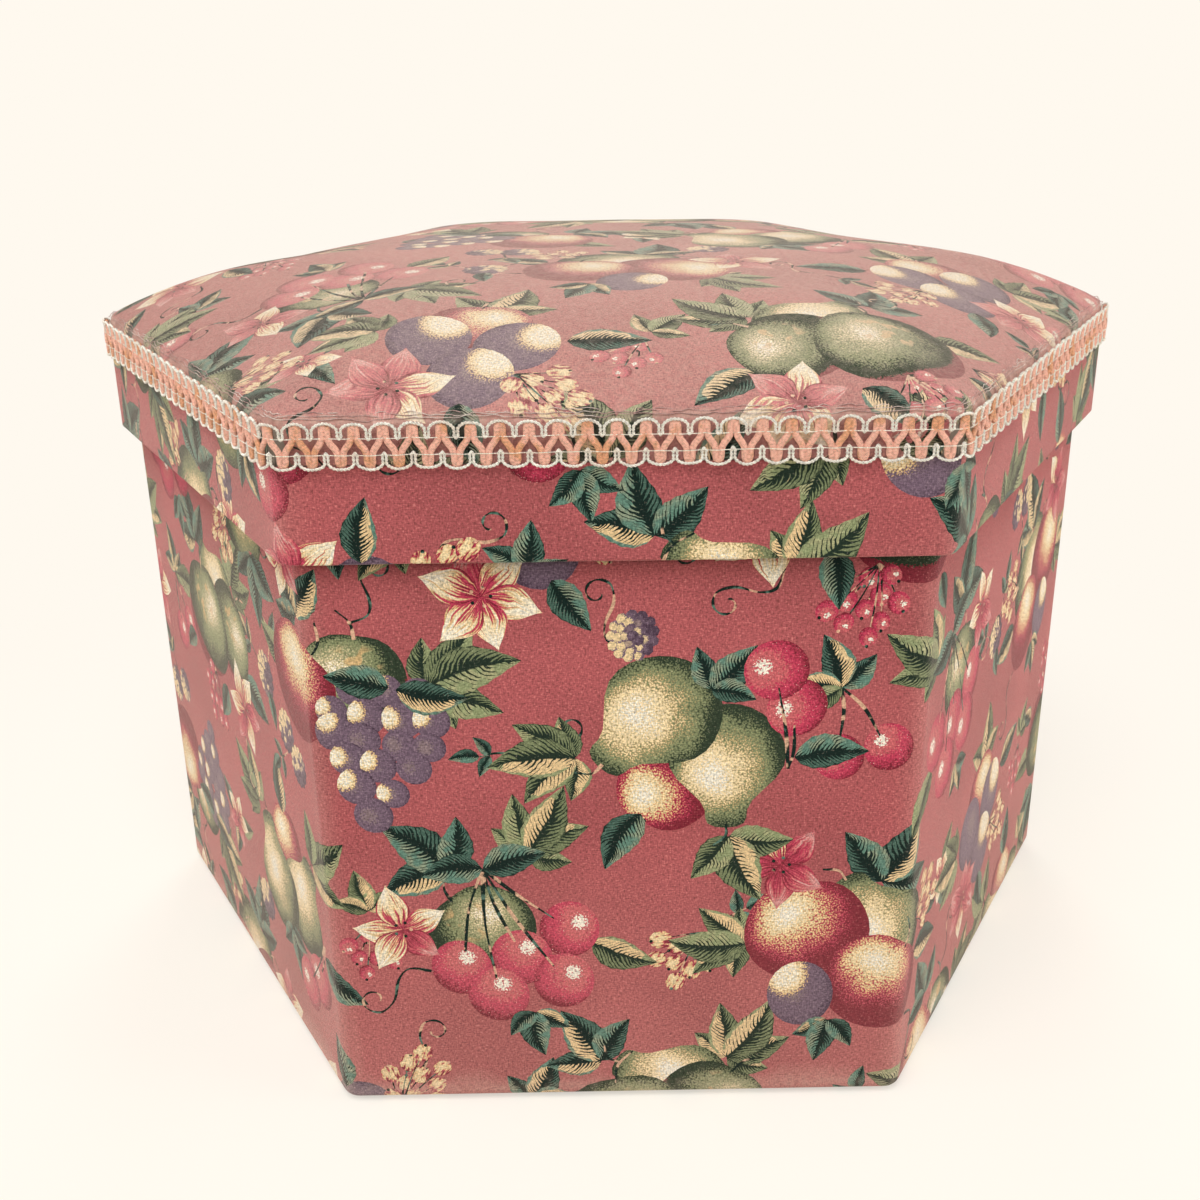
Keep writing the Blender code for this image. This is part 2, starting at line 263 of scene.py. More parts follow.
# Meshes and pieces


def place_piece(name, data):
    """A piece of the scene with this mesh, curve, light or camera."""
    piece = bpy.data.objects.new(name, data)
    bpy.context.scene.collection.objects.link(piece)
    return piece


def dress(piece, body, slot, *nodes):
    """Says which body a piece rides on, what it is made of and which solids it stands for."""
    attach(piece, body)
    if nodes:
        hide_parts(*nodes)


def finished_mesh(shape, mesh):
    shape.to_mesh(mesh)
    shape.free()
    return mesh


def face_outwards(shape):
    bmesh.ops.recalc_face_normals(shape, faces=shape.faces)


def evaluated_mesh(piece):
    """The plain mesh that a piece's modifiers make of it."""
    graph = bpy.context.evaluated_depsgraph_get()
    return bpy.data.meshes.new_from_object(piece.evaluated_get(graph))


def corner_points(mesh):
    """The number of the point at each face corner."""
    corners = np.zeros(len(mesh.loops), np.int64)
    mesh.loops.foreach_get("vertex_index", corners)
    return corners


def add_map(mesh, name, places):
    layer = mesh.uv_layers.new(name=name, do_init=False)
    layer.uv.foreach_set("vector", places.astype(np.float32).ravel())


# Node trees


FLOAT = "NodeSocketFloat"
COLOUR = "NodeSocketColor"
VECTOR = "NodeSocketVector"
GEOMETRY = "NodeSocketGeometry"


class Value:
    """An output in a node tree. Sums, products and steps of values are further nodes."""

    def __init__(self, wiring, socket):
        self.wiring = wiring
        self.socket = socket

    def __add__(self, other):
        return self.wiring.math("ADD", self, other)

    def __sub__(self, other):
        return self.wiring.math("SUBTRACT", self, other)

    def __rsub__(self, other):
        return self.wiring.math("SUBTRACT", other, self)

    def __mul__(self, other):
        return self.wiring.math("MULTIPLY", self, other)

    def __truediv__(self, other):
        return self.wiring.math("DIVIDE", self, other)

    def __abs__(self):
        return self.wiring.math("ABSOLUTE", self)

    def step(self, start, stop):
        """A smooth step from 0 to 1 between two values."""
        given = {0: self, 1: start, 2: stop}
        return self.wiring.value("ShaderNodeMapRange", given, interpolation_type="SMOOTHSTEP")


class Wiring:
    """Adds nodes to one tree and wires them."""

    def __init__(self, tree):
        self.tree = tree

    def add(self, kind, inputs=None, **choices):
        node = self.tree.nodes.new(kind)
        for name, value in choices.items():
            setattr(node, name, value)
        for key, value in (inputs or {}).items():
            self.feed(node.inputs[key], value)
        return node

    def value(self, kind, inputs=None, output=0, **choices):
        return Value(self, self.add(kind, inputs, **choices).outputs[output])

    def values(self, node):
        return {socket.name: Value(self, socket) for socket in node.outputs}

    def feed(self, socket, value):
        if isinstance(value, Value):
            self.tree.links.new(value.socket, socket)
        else:
            socket.default_value = value

    def math(self, operation, *values, clamp=False):
        return self.value("ShaderNodeMath", dict(enumerate(values)), operation=operation, use_clamp=clamp)

    def vector_math(self, operation, first, second):
        return self.value("ShaderNodeVectorMath", {0: first, 1: second}, operation=operation)

    def mix(self, share, low, high, blend="MIX"):
        low, high = (colour if isinstance(colour, Value) else (*colour, 1) for colour in (low, high))
        given = {0: share, 6: low, 7: high}
        return self.value("ShaderNodeMix", given, 2, data_type="RGBA", blend_type=blend)

    def ramp(self, share, stops):
        """Colours at places from 0 to 1."""
        node = self.add("ShaderNodeValToRGB", {0: share})
        band = node.color_ramp
        while len(band.elements) < len(stops):
            band.elements.new(1.0)
        for element, (place, colour) in zip(band.elements, stops):
            element.position = place
            element.color = (*colour, 1)
        return Value(self, node.outputs[0])

    def split(self, vector):
        return list(self.values(self.add("ShaderNodeSeparateXYZ", {0: vector})).values())

    def join(self, x, y, z=0.0):
        return self.value("ShaderNodeCombineXYZ", {0: x, 1: y, 2: z})

    def noise(self, vector, scale, detail=2.0, dimensions="3D"):
        given = {"Vector": vector, "Scale": scale, "Detail": detail}
        return self.value("ShaderNodeTexNoise", given, "Fac", noise_dimensions=dimensions)

    def flat_noise(self, vector, scale, detail=2.0):
        return self.noise(vector, scale, detail, "2D")

    def stretched_noise(self, vector, scale, dimensions="2D"):
        """Noise with a scale of its own along each axis."""
        place = self.value("ShaderNodeMapping", {"Vector": vector, "Scale": scale})
        return self.noise(place, 1.0, 2, dimensions)

    def object_place(self):
        return self.value("ShaderNodeTexCoord", output="Object")

    def map_place(self, name):
        return self.value("ShaderNodeUVMap", uv_map=name)

    def use(self, maker, inputs):
        """Adds the group that this function makes, which is made once, and hands back its outputs by name."""
        tree = bpy.data.node_groups.get(maker.__name__) or maker()
        return self.values(self.add("ShaderNodeGroup", inputs, node_tree=tree))

    def close(self, **results):
        """Feeds a group's outputs."""
        node = self.add("NodeGroupOutput")
        for name, value in results.items():
            self.feed(node.inputs[name], value)
        return self.tree


def new_group(name, kind, inputs, outputs):
    """An empty node group with named sockets, as its wiring and the values given to it."""
    tree = bpy.data.node_groups.new(name, kind)
    for way, sockets in (("INPUT", inputs), ("OUTPUT", outputs)):
        for socket, form in sockets.items():
            tree.interface.new_socket(socket, in_out=way, socket_type=form)
    w = Wiring(tree)
    return w, w.values(w.add("NodeGroupInput"))


# Surfaces


def cotton_weave():
    """Plain-woven cotton: uneven threads both ways and pale flecks. Wear pales it, the red dyes first, and
    wear below 0 soils it."""
    w, given = new_group(
        "cotton_weave",
        "ShaderNodeTree",
        {"Color": COLOUR, "Cloth": VECTOR, "Thread": FLOAT, "Slub": FLOAT, "Wear": FLOAT, "Rubbed": COLOUR},
        {"Color": COLOUR, "Height": FLOAT, "Roughness": FLOAT},
    )
    cloth, wear = given["Cloth"], given["Wear"]
    across, down, _ = w.split(cloth)
    warp, weft = (w.math("SINE", way / given["Thread"] * math.tau) for way in (across, down))
    crossing = warp * weft
    threads = w.stretched_noise(cloth, (2500, 1000, 1)) + w.stretched_noise(cloth, (900, 2400, 1))
    uneven = threads - 1.0
    light = uneven * given["Slub"] + crossing * 0.08 + (w.flat_noise(cloth, 38, 3) - 0.5) * 0.16
    light = light + 1.0
    woven = w.mix(1.0, given["Color"], w.join(light, light, light), "MULTIPLY")
    pale = w.mix(threads.step(1.2, 1.38) * 0.14, woven, given["Rubbed"])
    faded = w.math("MAXIMUM", wear, 0.0)
    squared = faded * faded
    loose = w.math("ADD", w.split(pale)[0] * 2.2, squared, clamp=True)
    scuffs = w.flat_noise(cloth, 420, 4) - 0.5
    rubbed = w.math("MULTIPLY_ADD", squared * 1.6, scuffs, faded * 0.75 * loose, clamp=True)
    worn = w.mix(rubbed, pale, given["Rubbed"])
    # Where the value is below 0, the cotton darkens towards the shade colour: painted shade.
    painted_shade = w.math("MULTIPLY", wear, -1.0, clamp=True)
    worn = w.mix(painted_shade, worn, w.mix(1.0, worn, PAINTED_SHADE_COLOUR, "MULTIPLY"))
    roughness = w.math("MULTIPLY_ADD", uneven, 0.2, 0.9, clamp=True)
    return w.close(Color=worn, Height=crossing * 0.25 + threads, Roughness=roughness)


def print_stipple():
    """Breaks a smooth shade up into the dots and scratches that a printer draws it with."""
    w, given = new_group(
        "print_stipple",
        "ShaderNodeTree",
        {"Shade": FLOAT, "Cloth": VECTOR, "Dots": FLOAT, "Spread": FLOAT},
        {"Shade": FLOAT},
    )
    place = {"Vector": given["Cloth"], "Scale": given["Dots"]}
    dots = w.value("ShaderNodeTexVoronoi", place, "Distance", voronoi_dimensions="2D") - 0.42
    fine = w.flat_noise(given["Cloth"], given["Dots"], 1) - 0.5
    return w.close(Shade=(fine * 0.7 - dots) * given["Spread"] + given["Shade"])


def twisted_thread():
    """A twisted, slightly hairy thread: slanted plies, uneven colour and soiled patches."""
    w, given = new_group(
        "twisted_thread",
        "ShaderNodeTree",
        {"Color": COLOUR, "Aged": COLOUR, "Band": VECTOR, "Ply": FLOAT, "Soiling": FLOAT},
        {"Color": COLOUR, "Height": FLOAT},
    )
    along, up, _ = w.split(given["Band"])
    plies = abs(w.math("SINE", (along + up) / given["Ply"] * math.pi))
    hair = w.stretched_noise(given["Band"], (1500, 1900, 1))
    patches = w.flat_noise(given["Band"], 95, 3).step(0.5, 0.66)
    aged = w.mix(patches * given["Soiling"], given["Color"], given["Aged"])
    shade = plies * 0.2 + (hair - 0.5) * 1.1 + 0.86
    return w.close(Color=w.mix(1.0, aged, w.join(shade, shade, shade), "MULTIPLY"), Height=hair * 0.5 + plies)


def new_material(name):
    material = bpy.data.materials.new(name)
    material.use_nodes = True
    return material, Wiring(material.node_tree)


def finish_shader(w, colour, roughness, height, depth, sheen=0.0):
    """Closes a material with its Principled shader and a bump. Its sheen is the warm haze of dry fibres."""
    shader = w.tree.nodes["Principled BSDF"]
    normal = w.value("ShaderNodeBump", {"Height": height, "Distance": depth, "Strength": 1.0})
    given = {"Base Color": colour, "Roughness": roughness, "Normal": normal, "Sheen Weight": sheen}
    given |= {"Sheen Roughness": 0.3, "Sheen Tint": (1.0, 0.82, 0.69, 1.0), "Specular IOR Level": 0.12}
    for name, value in given.items():
        w.feed(shader.inputs[name], value)


def weave(w, colour, cloth, slub, depth, sheen=0.0, wear=0.0, rubbed=PALE_THREAD):
    """Closes a material as woven cotton of this colour."""
    given = {"Color": colour, "Cloth": cloth, "Thread": sizes().cloth.thread, "Slub": slub, "Wear": wear}
    woven = w.use(cotton_weave, given | {"Rubbed": (*rubbed, 1)})
    finish_shader(w, woven["Color"], woven["Roughness"], woven["Height"], depth, sheen)


def plain_cotton(name, colour, slub=0.2):
    """Unprinted cotton, woven on the piece's own X and Y or Z."""
    material, w = new_material(name)
    x, y, z = w.split(w.object_place())
    weave(w, (*colour, 1), w.join(x + y, z - y * 0.5), slub, 0.1 * MM)
    return material


def grey_board():
    """Pressed grey board with fibres and a few darker specks."""
    material, w = new_material("pressed_board")
    place = w.object_place()
    fibres = w.noise(place, 900, 4)
    board = sizes().colours.board
    colour = w.mix(fibres, shaded(board, 0.82), shaded(board, 1.12))
    colour = w.mix(w.noise(place, 350, 2).step(0.66, 0.74) * 0.5, colour, shaded(board, 0.35))
    finish_shader(w, colour, fibres * 0.1 + 0.88, fibres, 0.1 * MM)
    return material


# Inks: what each kind of motif is printed with


class Ink:
    """What an ink's colours are worked out from: wiring, dyes, the motif's own places and its tone."""

    def __init__(self, wiring):
        self.wiring = wiring
        self.dyes = sizes().dyes
        self.cloth = wiring.map_place("cloth")
        self.along, self.across, _ = wiring.split(wiring.map_place("motif"))
        self.first, self.second, _ = wiring.split(wiring.map_place("tone"))

    def stippled(self, shade, spread, dots=1650.0):
        given = {"Shade": shade, "Cloth": self.cloth, "Dots": dots, "Spread": spread}
        return self.wiring.use(print_stipple, given)["Shade"]

    def from_spot(self, along, across):
        """Distance from a place on the motif, in shares of its half width."""
        gap, drop = self.along - along, self.across - across
        return self.wiring.math("SQRT", gap * gap + drop * drop)

    def streaks(self, density, length):
        """Fine lines that run along the motif, between about -0.5 and 0.5."""
        place = self.wiring.join((self.along + self.first * 37.0) * length, self.across * density)
        return self.wiring.flat_noise(place, 1.0) - 0.5

    def clouds(self, scale, detail=2.0):
        """Soft patches on the cloth, between about -0.5 and 0.5."""
        return self.wiring.flat_noise(self.cloth, scale, detail) - 0.5


def ground_ink(ink):
    ground = ink.dyes.ground
    return ink.wiring.mix(ink.clouds(22, 3).step(-0.2, 0.2), shaded(ground, 0.90), shaded(ground, 1.06))


def printed_tones(colours):
    """Ramp stops with a flat stretch of each colour and a short step to the next."""
    stops = []
    for (place, colour), (after, _) in zip(colours, [*colours[1:], (1.0, None)]):
        stops += [(place, colour), (max(place, after - 0.045), colour)]
    return stops


def round_fruit(ink, colours, spot, spread, rim, fall):
    """Tones that close round a lit spot in stippled steps, and darken again at the rim."""
    shade = 1.0 - ink.from_spot(*spot) * fall
    shade = ink.from_spot(0.0, 0.0).step(0.66, 1.02) * -rim + shade
    return ink.wiring.ramp(ink.stippled(ink.clouds(120) * 0.36 + shade, spread), printed_tones(colours))


def apple_ink(ink):
    d, w = ink.dyes, ink.wiring
    tones = [(0.0, d.moss), (0.2, mixed(d.moss, d.apple, 0.5)), (0.34, d.apple)]
    tones += [(0.6, mixed(d.apple, d.cream, 0.2)), (0.74, mixed(d.apple, d.cream, 0.55))]
    tones += [(0.86, d.cream), (0.93, CHALK)]
    skin = round_fruit(ink, tones, (0.22, 0.30), 0.46, 0.3, 0.9)
    ripe = ink.clouds(210, 1).step(0.06, 0.14) * ink.from_spot(0.3, -0.05).step(0.52, 0.3)
    skin = w.mix(ripe * 0.75, skin, d.straw)
    blush = ink.stippled(ink.from_spot(0.36, 0.30).step(1.12, 1.36), 0.5)
    return w.mix(blush.step(0.42, 0.56), skin, d.wine)


def peach_ink(ink):
    d = ink.dyes
    tones = [(0.0, d.wine), (0.2, mixed(d.wine, d.crimson, 0.6)), (0.36, d.crimson), (0.46, d.straw)]
    tones += [(0.62, d.cream), (0.9, CHALK)]
    return round_fruit(ink, tones, (0.34, 0.28), 0.55, 0.24, 0.92)


def pear_ink(ink):
    d = ink.dyes
    tones = [(0.0, d.moss), (0.16, mixed(d.moss, d.apple, 0.5)), (0.3, d.apple)]
    tones += [(0.5, mixed(d.apple, d.straw, 0.55)), (0.62, d.cream), (0.88, CHALK)]
    return round_fruit(ink, tones, (0.1, 0.2), 0.42, 0.2, 0.8)


def cherry_ink(ink):
    d = ink.dyes
    tones = [(0.0, d.wine), (0.14, mixed(d.wine, d.crimson, 0.5)), (0.3, d.crimson)]
    tones.append((0.56, mixed(d.crimson, d.cream, 0.12)))
    skin = round_fruit(ink, tones, (0.3, 0.3), 0.34, 0.08, 0.66)
    scratched = ink.stippled(ink.from_spot(0.26, 0.34).step(0.40, 0.14), 1.5, 1500.0)
    return ink.wiring.mix(scratched.step(0.66, 0.74), skin, CHALK)


def plum_ink(ink):
    d, w = ink.dyes, ink.wiring
    tones = [(0.0, d.dusk), (0.18, mixed(d.dusk, d.plum, 0.6)), (0.36, d.plum)]
    tones.append((0.8, mixed(d.plum, d.cream, 0.1)))
    skin = round_fruit(ink, tones, (0.2, 0.2), 0.4, 0.1, 0.62)
    oval = ink.stippled(ink.from_spot(0.62, 0.4).step(1.0, 0.24), 0.6)
    lit = skin
    for start, stop, colour in ((0.44, 0.52, d.straw), (0.6, 0.7, d.cream), (0.9, 1.0, CHALK)):
        lit = w.mix(oval.step(start, stop), lit, colour)
    return w.mix(ink.second.step(0.66, 0.68), lit, skin)


def petal_ink(ink):
    d, w = ink.dyes, ink.wiring
    rim = w.math("MAXIMUM", abs(ink.across).step(0.74, 1.0), ink.along.step(0.84, 1.0))
    shade = ink.streaks(8.0, 1.6) * 1.5 + ink.along + rim * -0.42
    pale = [(0.0, d.wine), (0.13, d.crimson), (0.3, d.crimson), (0.38, d.straw), (0.5, d.cream)]
    pale.append((0.95, CHALK))
    deep = [(0.0, d.wine), (0.24, mixed(d.wine, d.crimson, 0.5)), (0.42, d.crimson)]
    deep += [(0.66, mixed(d.crimson, d.cream, 0.16)), (0.95, mixed(d.crimson, CHALK, 0.42))]
    return w.mix(ink.first.step(0.54, 0.56), w.ramp(shade, pale), w.ramp(shade, deep))


def berry_ink(ink):
    d = ink.dyes
    shade = 1.0 - ink.from_spot(0.1, 0.15) * 0.62 + ink.streaks(3.4, 1.2) * 2.0
    tones = [(0.2, d.wine), (0.4, d.crimson), (0.5, d.straw), (0.7, mixed(d.cream, d.straw, 0.4))]
    tones.append((1.0, d.cream))
    return ink.wiring.ramp(shade, tones)


def bramble_ink(ink):
    d, w = ink.dyes, ink.wiring
    inward = ink.stippled(ink.from_spot(0.15, 0.3), 0.5, 2600.0) + (0.3 - ink.first * 0.5)
    heart = w.mix(ink.first.step(0.4, 0.5), d.plum, mixed(d.cream, d.straw, 0.3))
    around = w.mix(ink.first.step(0.1, 0.7), d.dusk, d.plum)
    return w.mix(inward.step(0.56, 0.8), heart, around)


def leaf_colours(ink, light, middle, dark, depth):
    """A leaf with dark strokes that fan out of its midrib, one half in shade, and on some a cream streak."""
    d, w = ink.dyes, ink.wiring
    edge = abs(ink.across)
    waver, drift = ink.clouds(900), ink.clouds(260, 1)
    shaded_half = ink.across.step(-0.04, 0.04)
    fan = w.math("POWER", edge, 1.35) * -4.0 + ink.along * (ink.second * 5.0 + 13.0)
    comb = w.math("PINGPONG", fan + waver * 0.22 + drift * 1.1, 0.5)
    inside = w.math("SUBTRACT", 1.0, edge, clamp=True)
    breadth = inside * inside * (shaded_half * 0.36 + depth) + (shaded_half * 0.06 + 0.02)
    breadth = breadth + drift * 0.5 + waver * 0.2
    pale = w.mix(drift.step(-0.1, 0.14), light, mixed(light, d.cream, 0.22))
    face = w.mix(shaded_half, pale, middle)
    side = ink.first.step(0.58, 0.60) * ink.across.step(0.04, -0.04)
    streak = side * (edge.step(0.92, 0.66) * ink.along.step(0.94, 0.7)) + drift * 1.5
    face = w.mix(streak.step(0.5, 0.62), face, mixed(d.cream, d.straw, 0.5))
    drawn = w.mix((breadth - comb).step(-0.04, 0.04), face, dark)
    drawn = w.mix(edge.step(0.10, 0.04), drawn, dark)
    rim = (waver * 0.3 + edge).step(0.84, 0.95)
    return w.mix(rim * (shaded_half * 0.6 + 0.25), drawn, dark)


def teal_leaf_ink(ink):
    d = ink.dyes
    return leaf_colours(ink, d.teal, mixed(d.teal, d.pine, 0.45), d.pine, 0.42)


def olive_leaf_ink(ink):
    d = ink.dyes
    return leaf_colours(ink, d.olive, mixed(d.olive, d.moss, 0.35), mixed(d.moss, d.pine, 0.6), 0.22)


def stem_ink(ink):
    d, w = ink.dyes, ink.wiring
    broken = ink.clouds(170)
    drawn = w.mix(broken.step(-0.10, -0.04), mixed(d.ground, d.cream, 0.5), d.pine)
    return w.mix(broken.step(0.08, 0.16), drawn, mixed(d.teal, d.pine, 0.3))


INKS = {
    "ground": ground_ink,
    "apple": apple_ink,
    "peach": peach_ink,
    "pear": pear_ink,
    "cherry": cherry_ink,
    "plum": plum_ink,
    "petal": petal_ink,
    "berry": berry_ink,
    "bramble": bramble_ink,
    "teal_leaf": teal_leaf_ink,
    "olive_leaf": olive_leaf_ink,
    "stem": stem_ink,
}
INK_NUMBERS = {name: number for number, name in enumerate(INKS)}


def cotton_materials():
    """One cotton for each ink and one for the reverse, made once and shared by every printed cloth."""
    found = bpy.data.materials
    if "cotton_ground" not in found:
        rubbed = mixed(sizes().dyes.ground, RUBBED_PRINT, 0.62)
        for name, ink_colours in INKS.items():
            _, w = new_material(f"cotton_{name}")
            ink = Ink(w)
            wear = w.value("ShaderNodeAttribute", output="Fac", attribute_name="wear")
            weave(w, ink_colours(ink), ink.cloth, 1.15, 0.12 * MM, 0.5, wear, rubbed)
        plain_cotton("cotton_reverse", sizes().colours.reverse, 0.25)
    return [found[f"cotton_{name}"] for name in (*INKS, "reverse")]


# The print: motifs drawn flat on the cloth, in millimetres of their own bouquet


def leaf_breadth(u):
    """Half width of a leaf along its length, 1 at its widest: round near the stem and pointed at the tip."""
    u = np.clip(u, 0, 1)
    return np.sin(np.pi * u**0.78) ** 0.92 * (1.12 - 0.25 * u)


def petal_breadth(u):
    """Half width of a petal: narrow at the heart, broad in the middle and drawn to a sharp point."""
    u = np.clip(u, 0, 1)
    return 6.39 * u**1.2 * (1 - u) ** 1.5


ROUND, LEAF, PETAL = range(3)
BREADTHS = {LEAF: leaf_breadth, PETAL: petal_breadth}


def spine_bow(bow, u):
    return bow * 4 * u * (1 - u)


def long_outline(rule, bow, points, teeth=0.0):
    """A leaf's or a petal's outline from its stem, at 0, to its tip, at 1."""
    u = np.linspace(0, 1, points + 1)[1:-1]
    half = BREADTHS[rule](u) * (1 + teeth * (-1.0) ** np.arange(len(u)))
    spine = spine_bow(bow, u)
    upper = np.column_stack((u, spine + half))[::-1]
    return np.vstack(([[0, 0]], np.column_stack((u, spine - half)), [[1, 0]], upper))


def round_outline(points, shape=None):
    """A circle of radius 1, its radius changed by a function of the angle from the tip."""
    angle = np.linspace(0, math.tau, points, endpoint=False)
    radius = np.ones(points) if shape is None else shape(angle)
    return np.column_stack((np.cos(angle) * radius, np.sin(angle) * radius))


def apple_shape(angle):
    """Broad shoulders, with a dip where the stalk is."""
    dip = 0.13 * np.exp(-((np.angle(np.exp(1j * angle)) / 0.42) ** 2))
    return 1 - dip + 0.03 * np.cos(2 * angle) + 0.02 * np.cos(3 * angle)


def pear_outline(points):
    """A round bottom, a waist beyond the middle and a blunt neck at the tip."""
    angle = np.linspace(-math.pi, math.pi, points, endpoint=False)
    waist = 0.52 * np.exp(-(((np.abs(angle) - 0.86) / 0.5) ** 2))
    return np.column_stack((np.cos(angle), np.sin(angle) * (1 - waist)))


def heading(degrees):
    """The unit directions forward and to the left."""
    angle = math.radians(degrees)
    return np.array([math.cos(angle), math.sin(angle)]), np.array([-math.sin(angle), math.cos(angle)])


def smooth_path(points, steps):
    """A smooth curve through the points."""
    padded = np.vstack((2 * points[0] - points[1], points, 2 * points[-1] - points[-2]))
    fine = []
    for a, b, c, d in zip(padded, padded[1:], padded[2:], padded[3:]):
        for t in np.arange(steps) / steps:
            bend = (2 * a - 5 * b + 4 * c - d) * t**2 + (3 * b - a - 3 * c + d) * t**3
            fine.append(0.5 * (2 * b + (c - a) * t + bend))
    fine.append(points[-1])
    return np.array(fine)


class PrintedCloth:
    """Motifs on flat cloth in the order they are printed, each with its outline and its own frame."""

    def __init__(self):
        self.outlines = []
        self.inks = []
        self.rules = []
        self.bows = []
        self.origins = []
        self.frames = []
        self.tones = []

    def add(self, ink, rule, bow, outline, origin, axes, tone):
        self.outlines.append(outline @ axes.T + origin)
        self.inks.append(INK_NUMBERS[ink])
        self.rules.append(rule)
        self.bows.append(bow)
        self.origins.append(origin)
        self.frames.append(np.linalg.inv(axes))
        self.tones.append(tone)


class Pen:
    """Draws motifs in a bouquet's own millimetres, turned, mirrored and laid at its place on the cloth."""

    def __init__(self, cloth, origin, turn, mirrored, dice):
        self.cloth = cloth
        self.origin = np.array(origin)
        self.dice = dice
        self.around = dice.uniform
        c, s = math.cos(turn), math.sin(turn)
        flip = -1.0 if mirrored else 1.0
        self.axes = MM * sizes().layout.scale * np.array([[c * flip, -s], [s * flip, c]])

    def shape(self, ink, x, y, facing, length, width, outline, rule=ROUND, bow=0.0, tone=None):
        forward, left = heading(facing)
        tone = tone or (self.dice.random(), self.dice.random())
        origin = self.axes @ np.array([x, y]) + self.origin
        axes = self.axes @ np.column_stack((forward * length, left * width))
        self.cloth.add(ink, rule, bow, outline, origin, axes, tone)

    def leaf(self, x, y, facing, length, breadth=0.42, ink="teal_leaf"):
        bow = self.around(-0.35, 0.35)
        length *= 0.95
        outline = long_outline(LEAF, bow, 12, 0.035)
        self.shape(ink, x, y, facing, length, length * breadth / 2, outline, LEAF, bow)

    def spray(self, x, y, facing, length, ink="teal_leaf", count=3, spread=62):
        """Leaves that fan out from one point, the middle one longest."""
        for number in range(count):
            off = number - (count - 1) / 2
            order = abs(off) / max((count - 1) / 2, 1)
            reach = length * (1 - 0.22 * order) * self.around(0.92, 1.08)
            self.leaf(x, y, facing + off * spread, reach, 0.56, ink)

    def lobed(self, x, y, facing, length, ink="olive_leaf"):
        """A leaf of five lobes with their ribs in one point."""
        pairs = ((-78, 0.55, 0.6), (78, 0.55, 0.6), (-38, 0.82, 0.5), (38, 0.82, 0.5))
        for swing, share, breadth in (*pairs, (0, 1, 0.5)):
            self.leaf(x, y, facing + swing, length * share, breadth, ink)

    def line(self, places, width, ink="stem"):
        """A stem through these places, thinner at its end."""
        fine = smooth_path(np.array(places, float), 4)
        run = np.gradient(fine, axis=0)
        run /= np.linalg.norm(run, axis=1)[:, None]
        swell = 1 + 0.3 * np.sin(np.arange(len(fine)) * 0.7 + self.around(0, 6))
        half = swell * np.linspace(width / 2, width / 3.2, len(fine))
        side = np.column_stack((-run[:, 1], run[:, 0])) * half[:, None]
        self.shape(ink, 0, 0, 0, 1, 1, np.vstack((fine + side, (fine - side)[::-1])))

    def tendril(self, x, y, facing, size):
        """A thin stem that ends in a curl."""
        forward, left = heading(facing)
        hand = self.dice.choice((-1, 1))
        left = left * hand
        places = []
        for share in np.linspace(0, 1, 5):
            bend = left * size * 0.22 * math.sin(share * 5.0)
            places.append(np.array([x, y]) + forward * size * share + bend)
        centre = places[-1] + left * size * 0.24
        start = places[-1] - centre
        for step in range(1, 10):
            swing = step * 0.62 * hand
            c, s = math.cos(swing), math.sin(swing)
            turned = np.array([c * start[0] - s * start[1], s * start[0] + c * start[1]])
            places.append(centre + turned * (1 - step * 0.075))
        self.line(places, 0.8)

    def apple(self, x, y, size, facing=90, ink="apple"):
        self.shape(ink, x, y, facing, size * 0.93, size, round_outline(30, apple_shape))
        forward, left = heading(facing)
        top = np.array([x, y]) + forward * size * 0.78
        middle = top + (forward + left * 0.3) * size * 0.30
        self.line([top, middle, top + (forward + left * 0.7) * size * 0.5], 0.9)

    def pear(self, x, y, size, facing=90, ink="pear"):
        self.shape(ink, x, y, facing, size * 1.32, size * 1.16, pear_outline(32))
        forward, left = heading(facing)
        top = np.array([x, y]) + forward * size * 1.3
        self.line([top - forward, top + forward * size * 0.2, top + (forward + left * 0.6) * size * 0.4], 0.9)

    def cherry(self, x, y, size, stalk):
        facing = self.around(60, 120)
        self.shape("cherry", x, y, facing, size, size * self.around(0.9, 1.0), round_outline(22))
        end = np.array([x, y]) + (np.array(stalk) - (x, y)) * size * 0.6 / math.dist(stalk, (x, y))
        self.line([stalk, (end + stalk) / 2 + np.array([1.2, 0.8]), end], 1.1)

    def berry(self, ink, x, y, size, facing, points=12, squat=0.9, tone=None):
        self.shape(ink, x, y, facing, size, size * squat, round_outline(points), tone=tone)

    def grapes(self, x, y, facing, rows, size):
        """A hanging bunch, row by row away from its stalk."""
        forward, left = heading(facing)
        for row, count in enumerate(rows):
            for number in range(count):
                off = (number - (count - 1) / 2) * size * 1.72
                place = np.array([x, y]) + forward * row * size * 1.45 + left * off
                place += np.array([self.around(-0.9, 0.9), self.around(-0.9, 0.9)])
                self.berry("plum", *place, size * self.around(0.9, 1.12), self.around(100, 170), 16, 0.92)

    def bramble(self, x, y, size=6.2):
        """Drupelets in rings, lit on one side."""
        for ring, count in ((0.84, 13), (0.56, 9), (0.28, 5), (0.0, 1)):
            for number in range(count):
                angle = math.tau * number / count + ring
                across, up = math.cos(angle) * ring, math.sin(angle) * ring
                lit = 0.5 + 0.5 * (up - across) + self.around(-0.35, 0.35)
                place = (x + across * size, y + up * size * 1.1)
                self.berry("bramble", *place, size * 0.27, self.around(60, 120), 7, 0.95, (lit, 0))

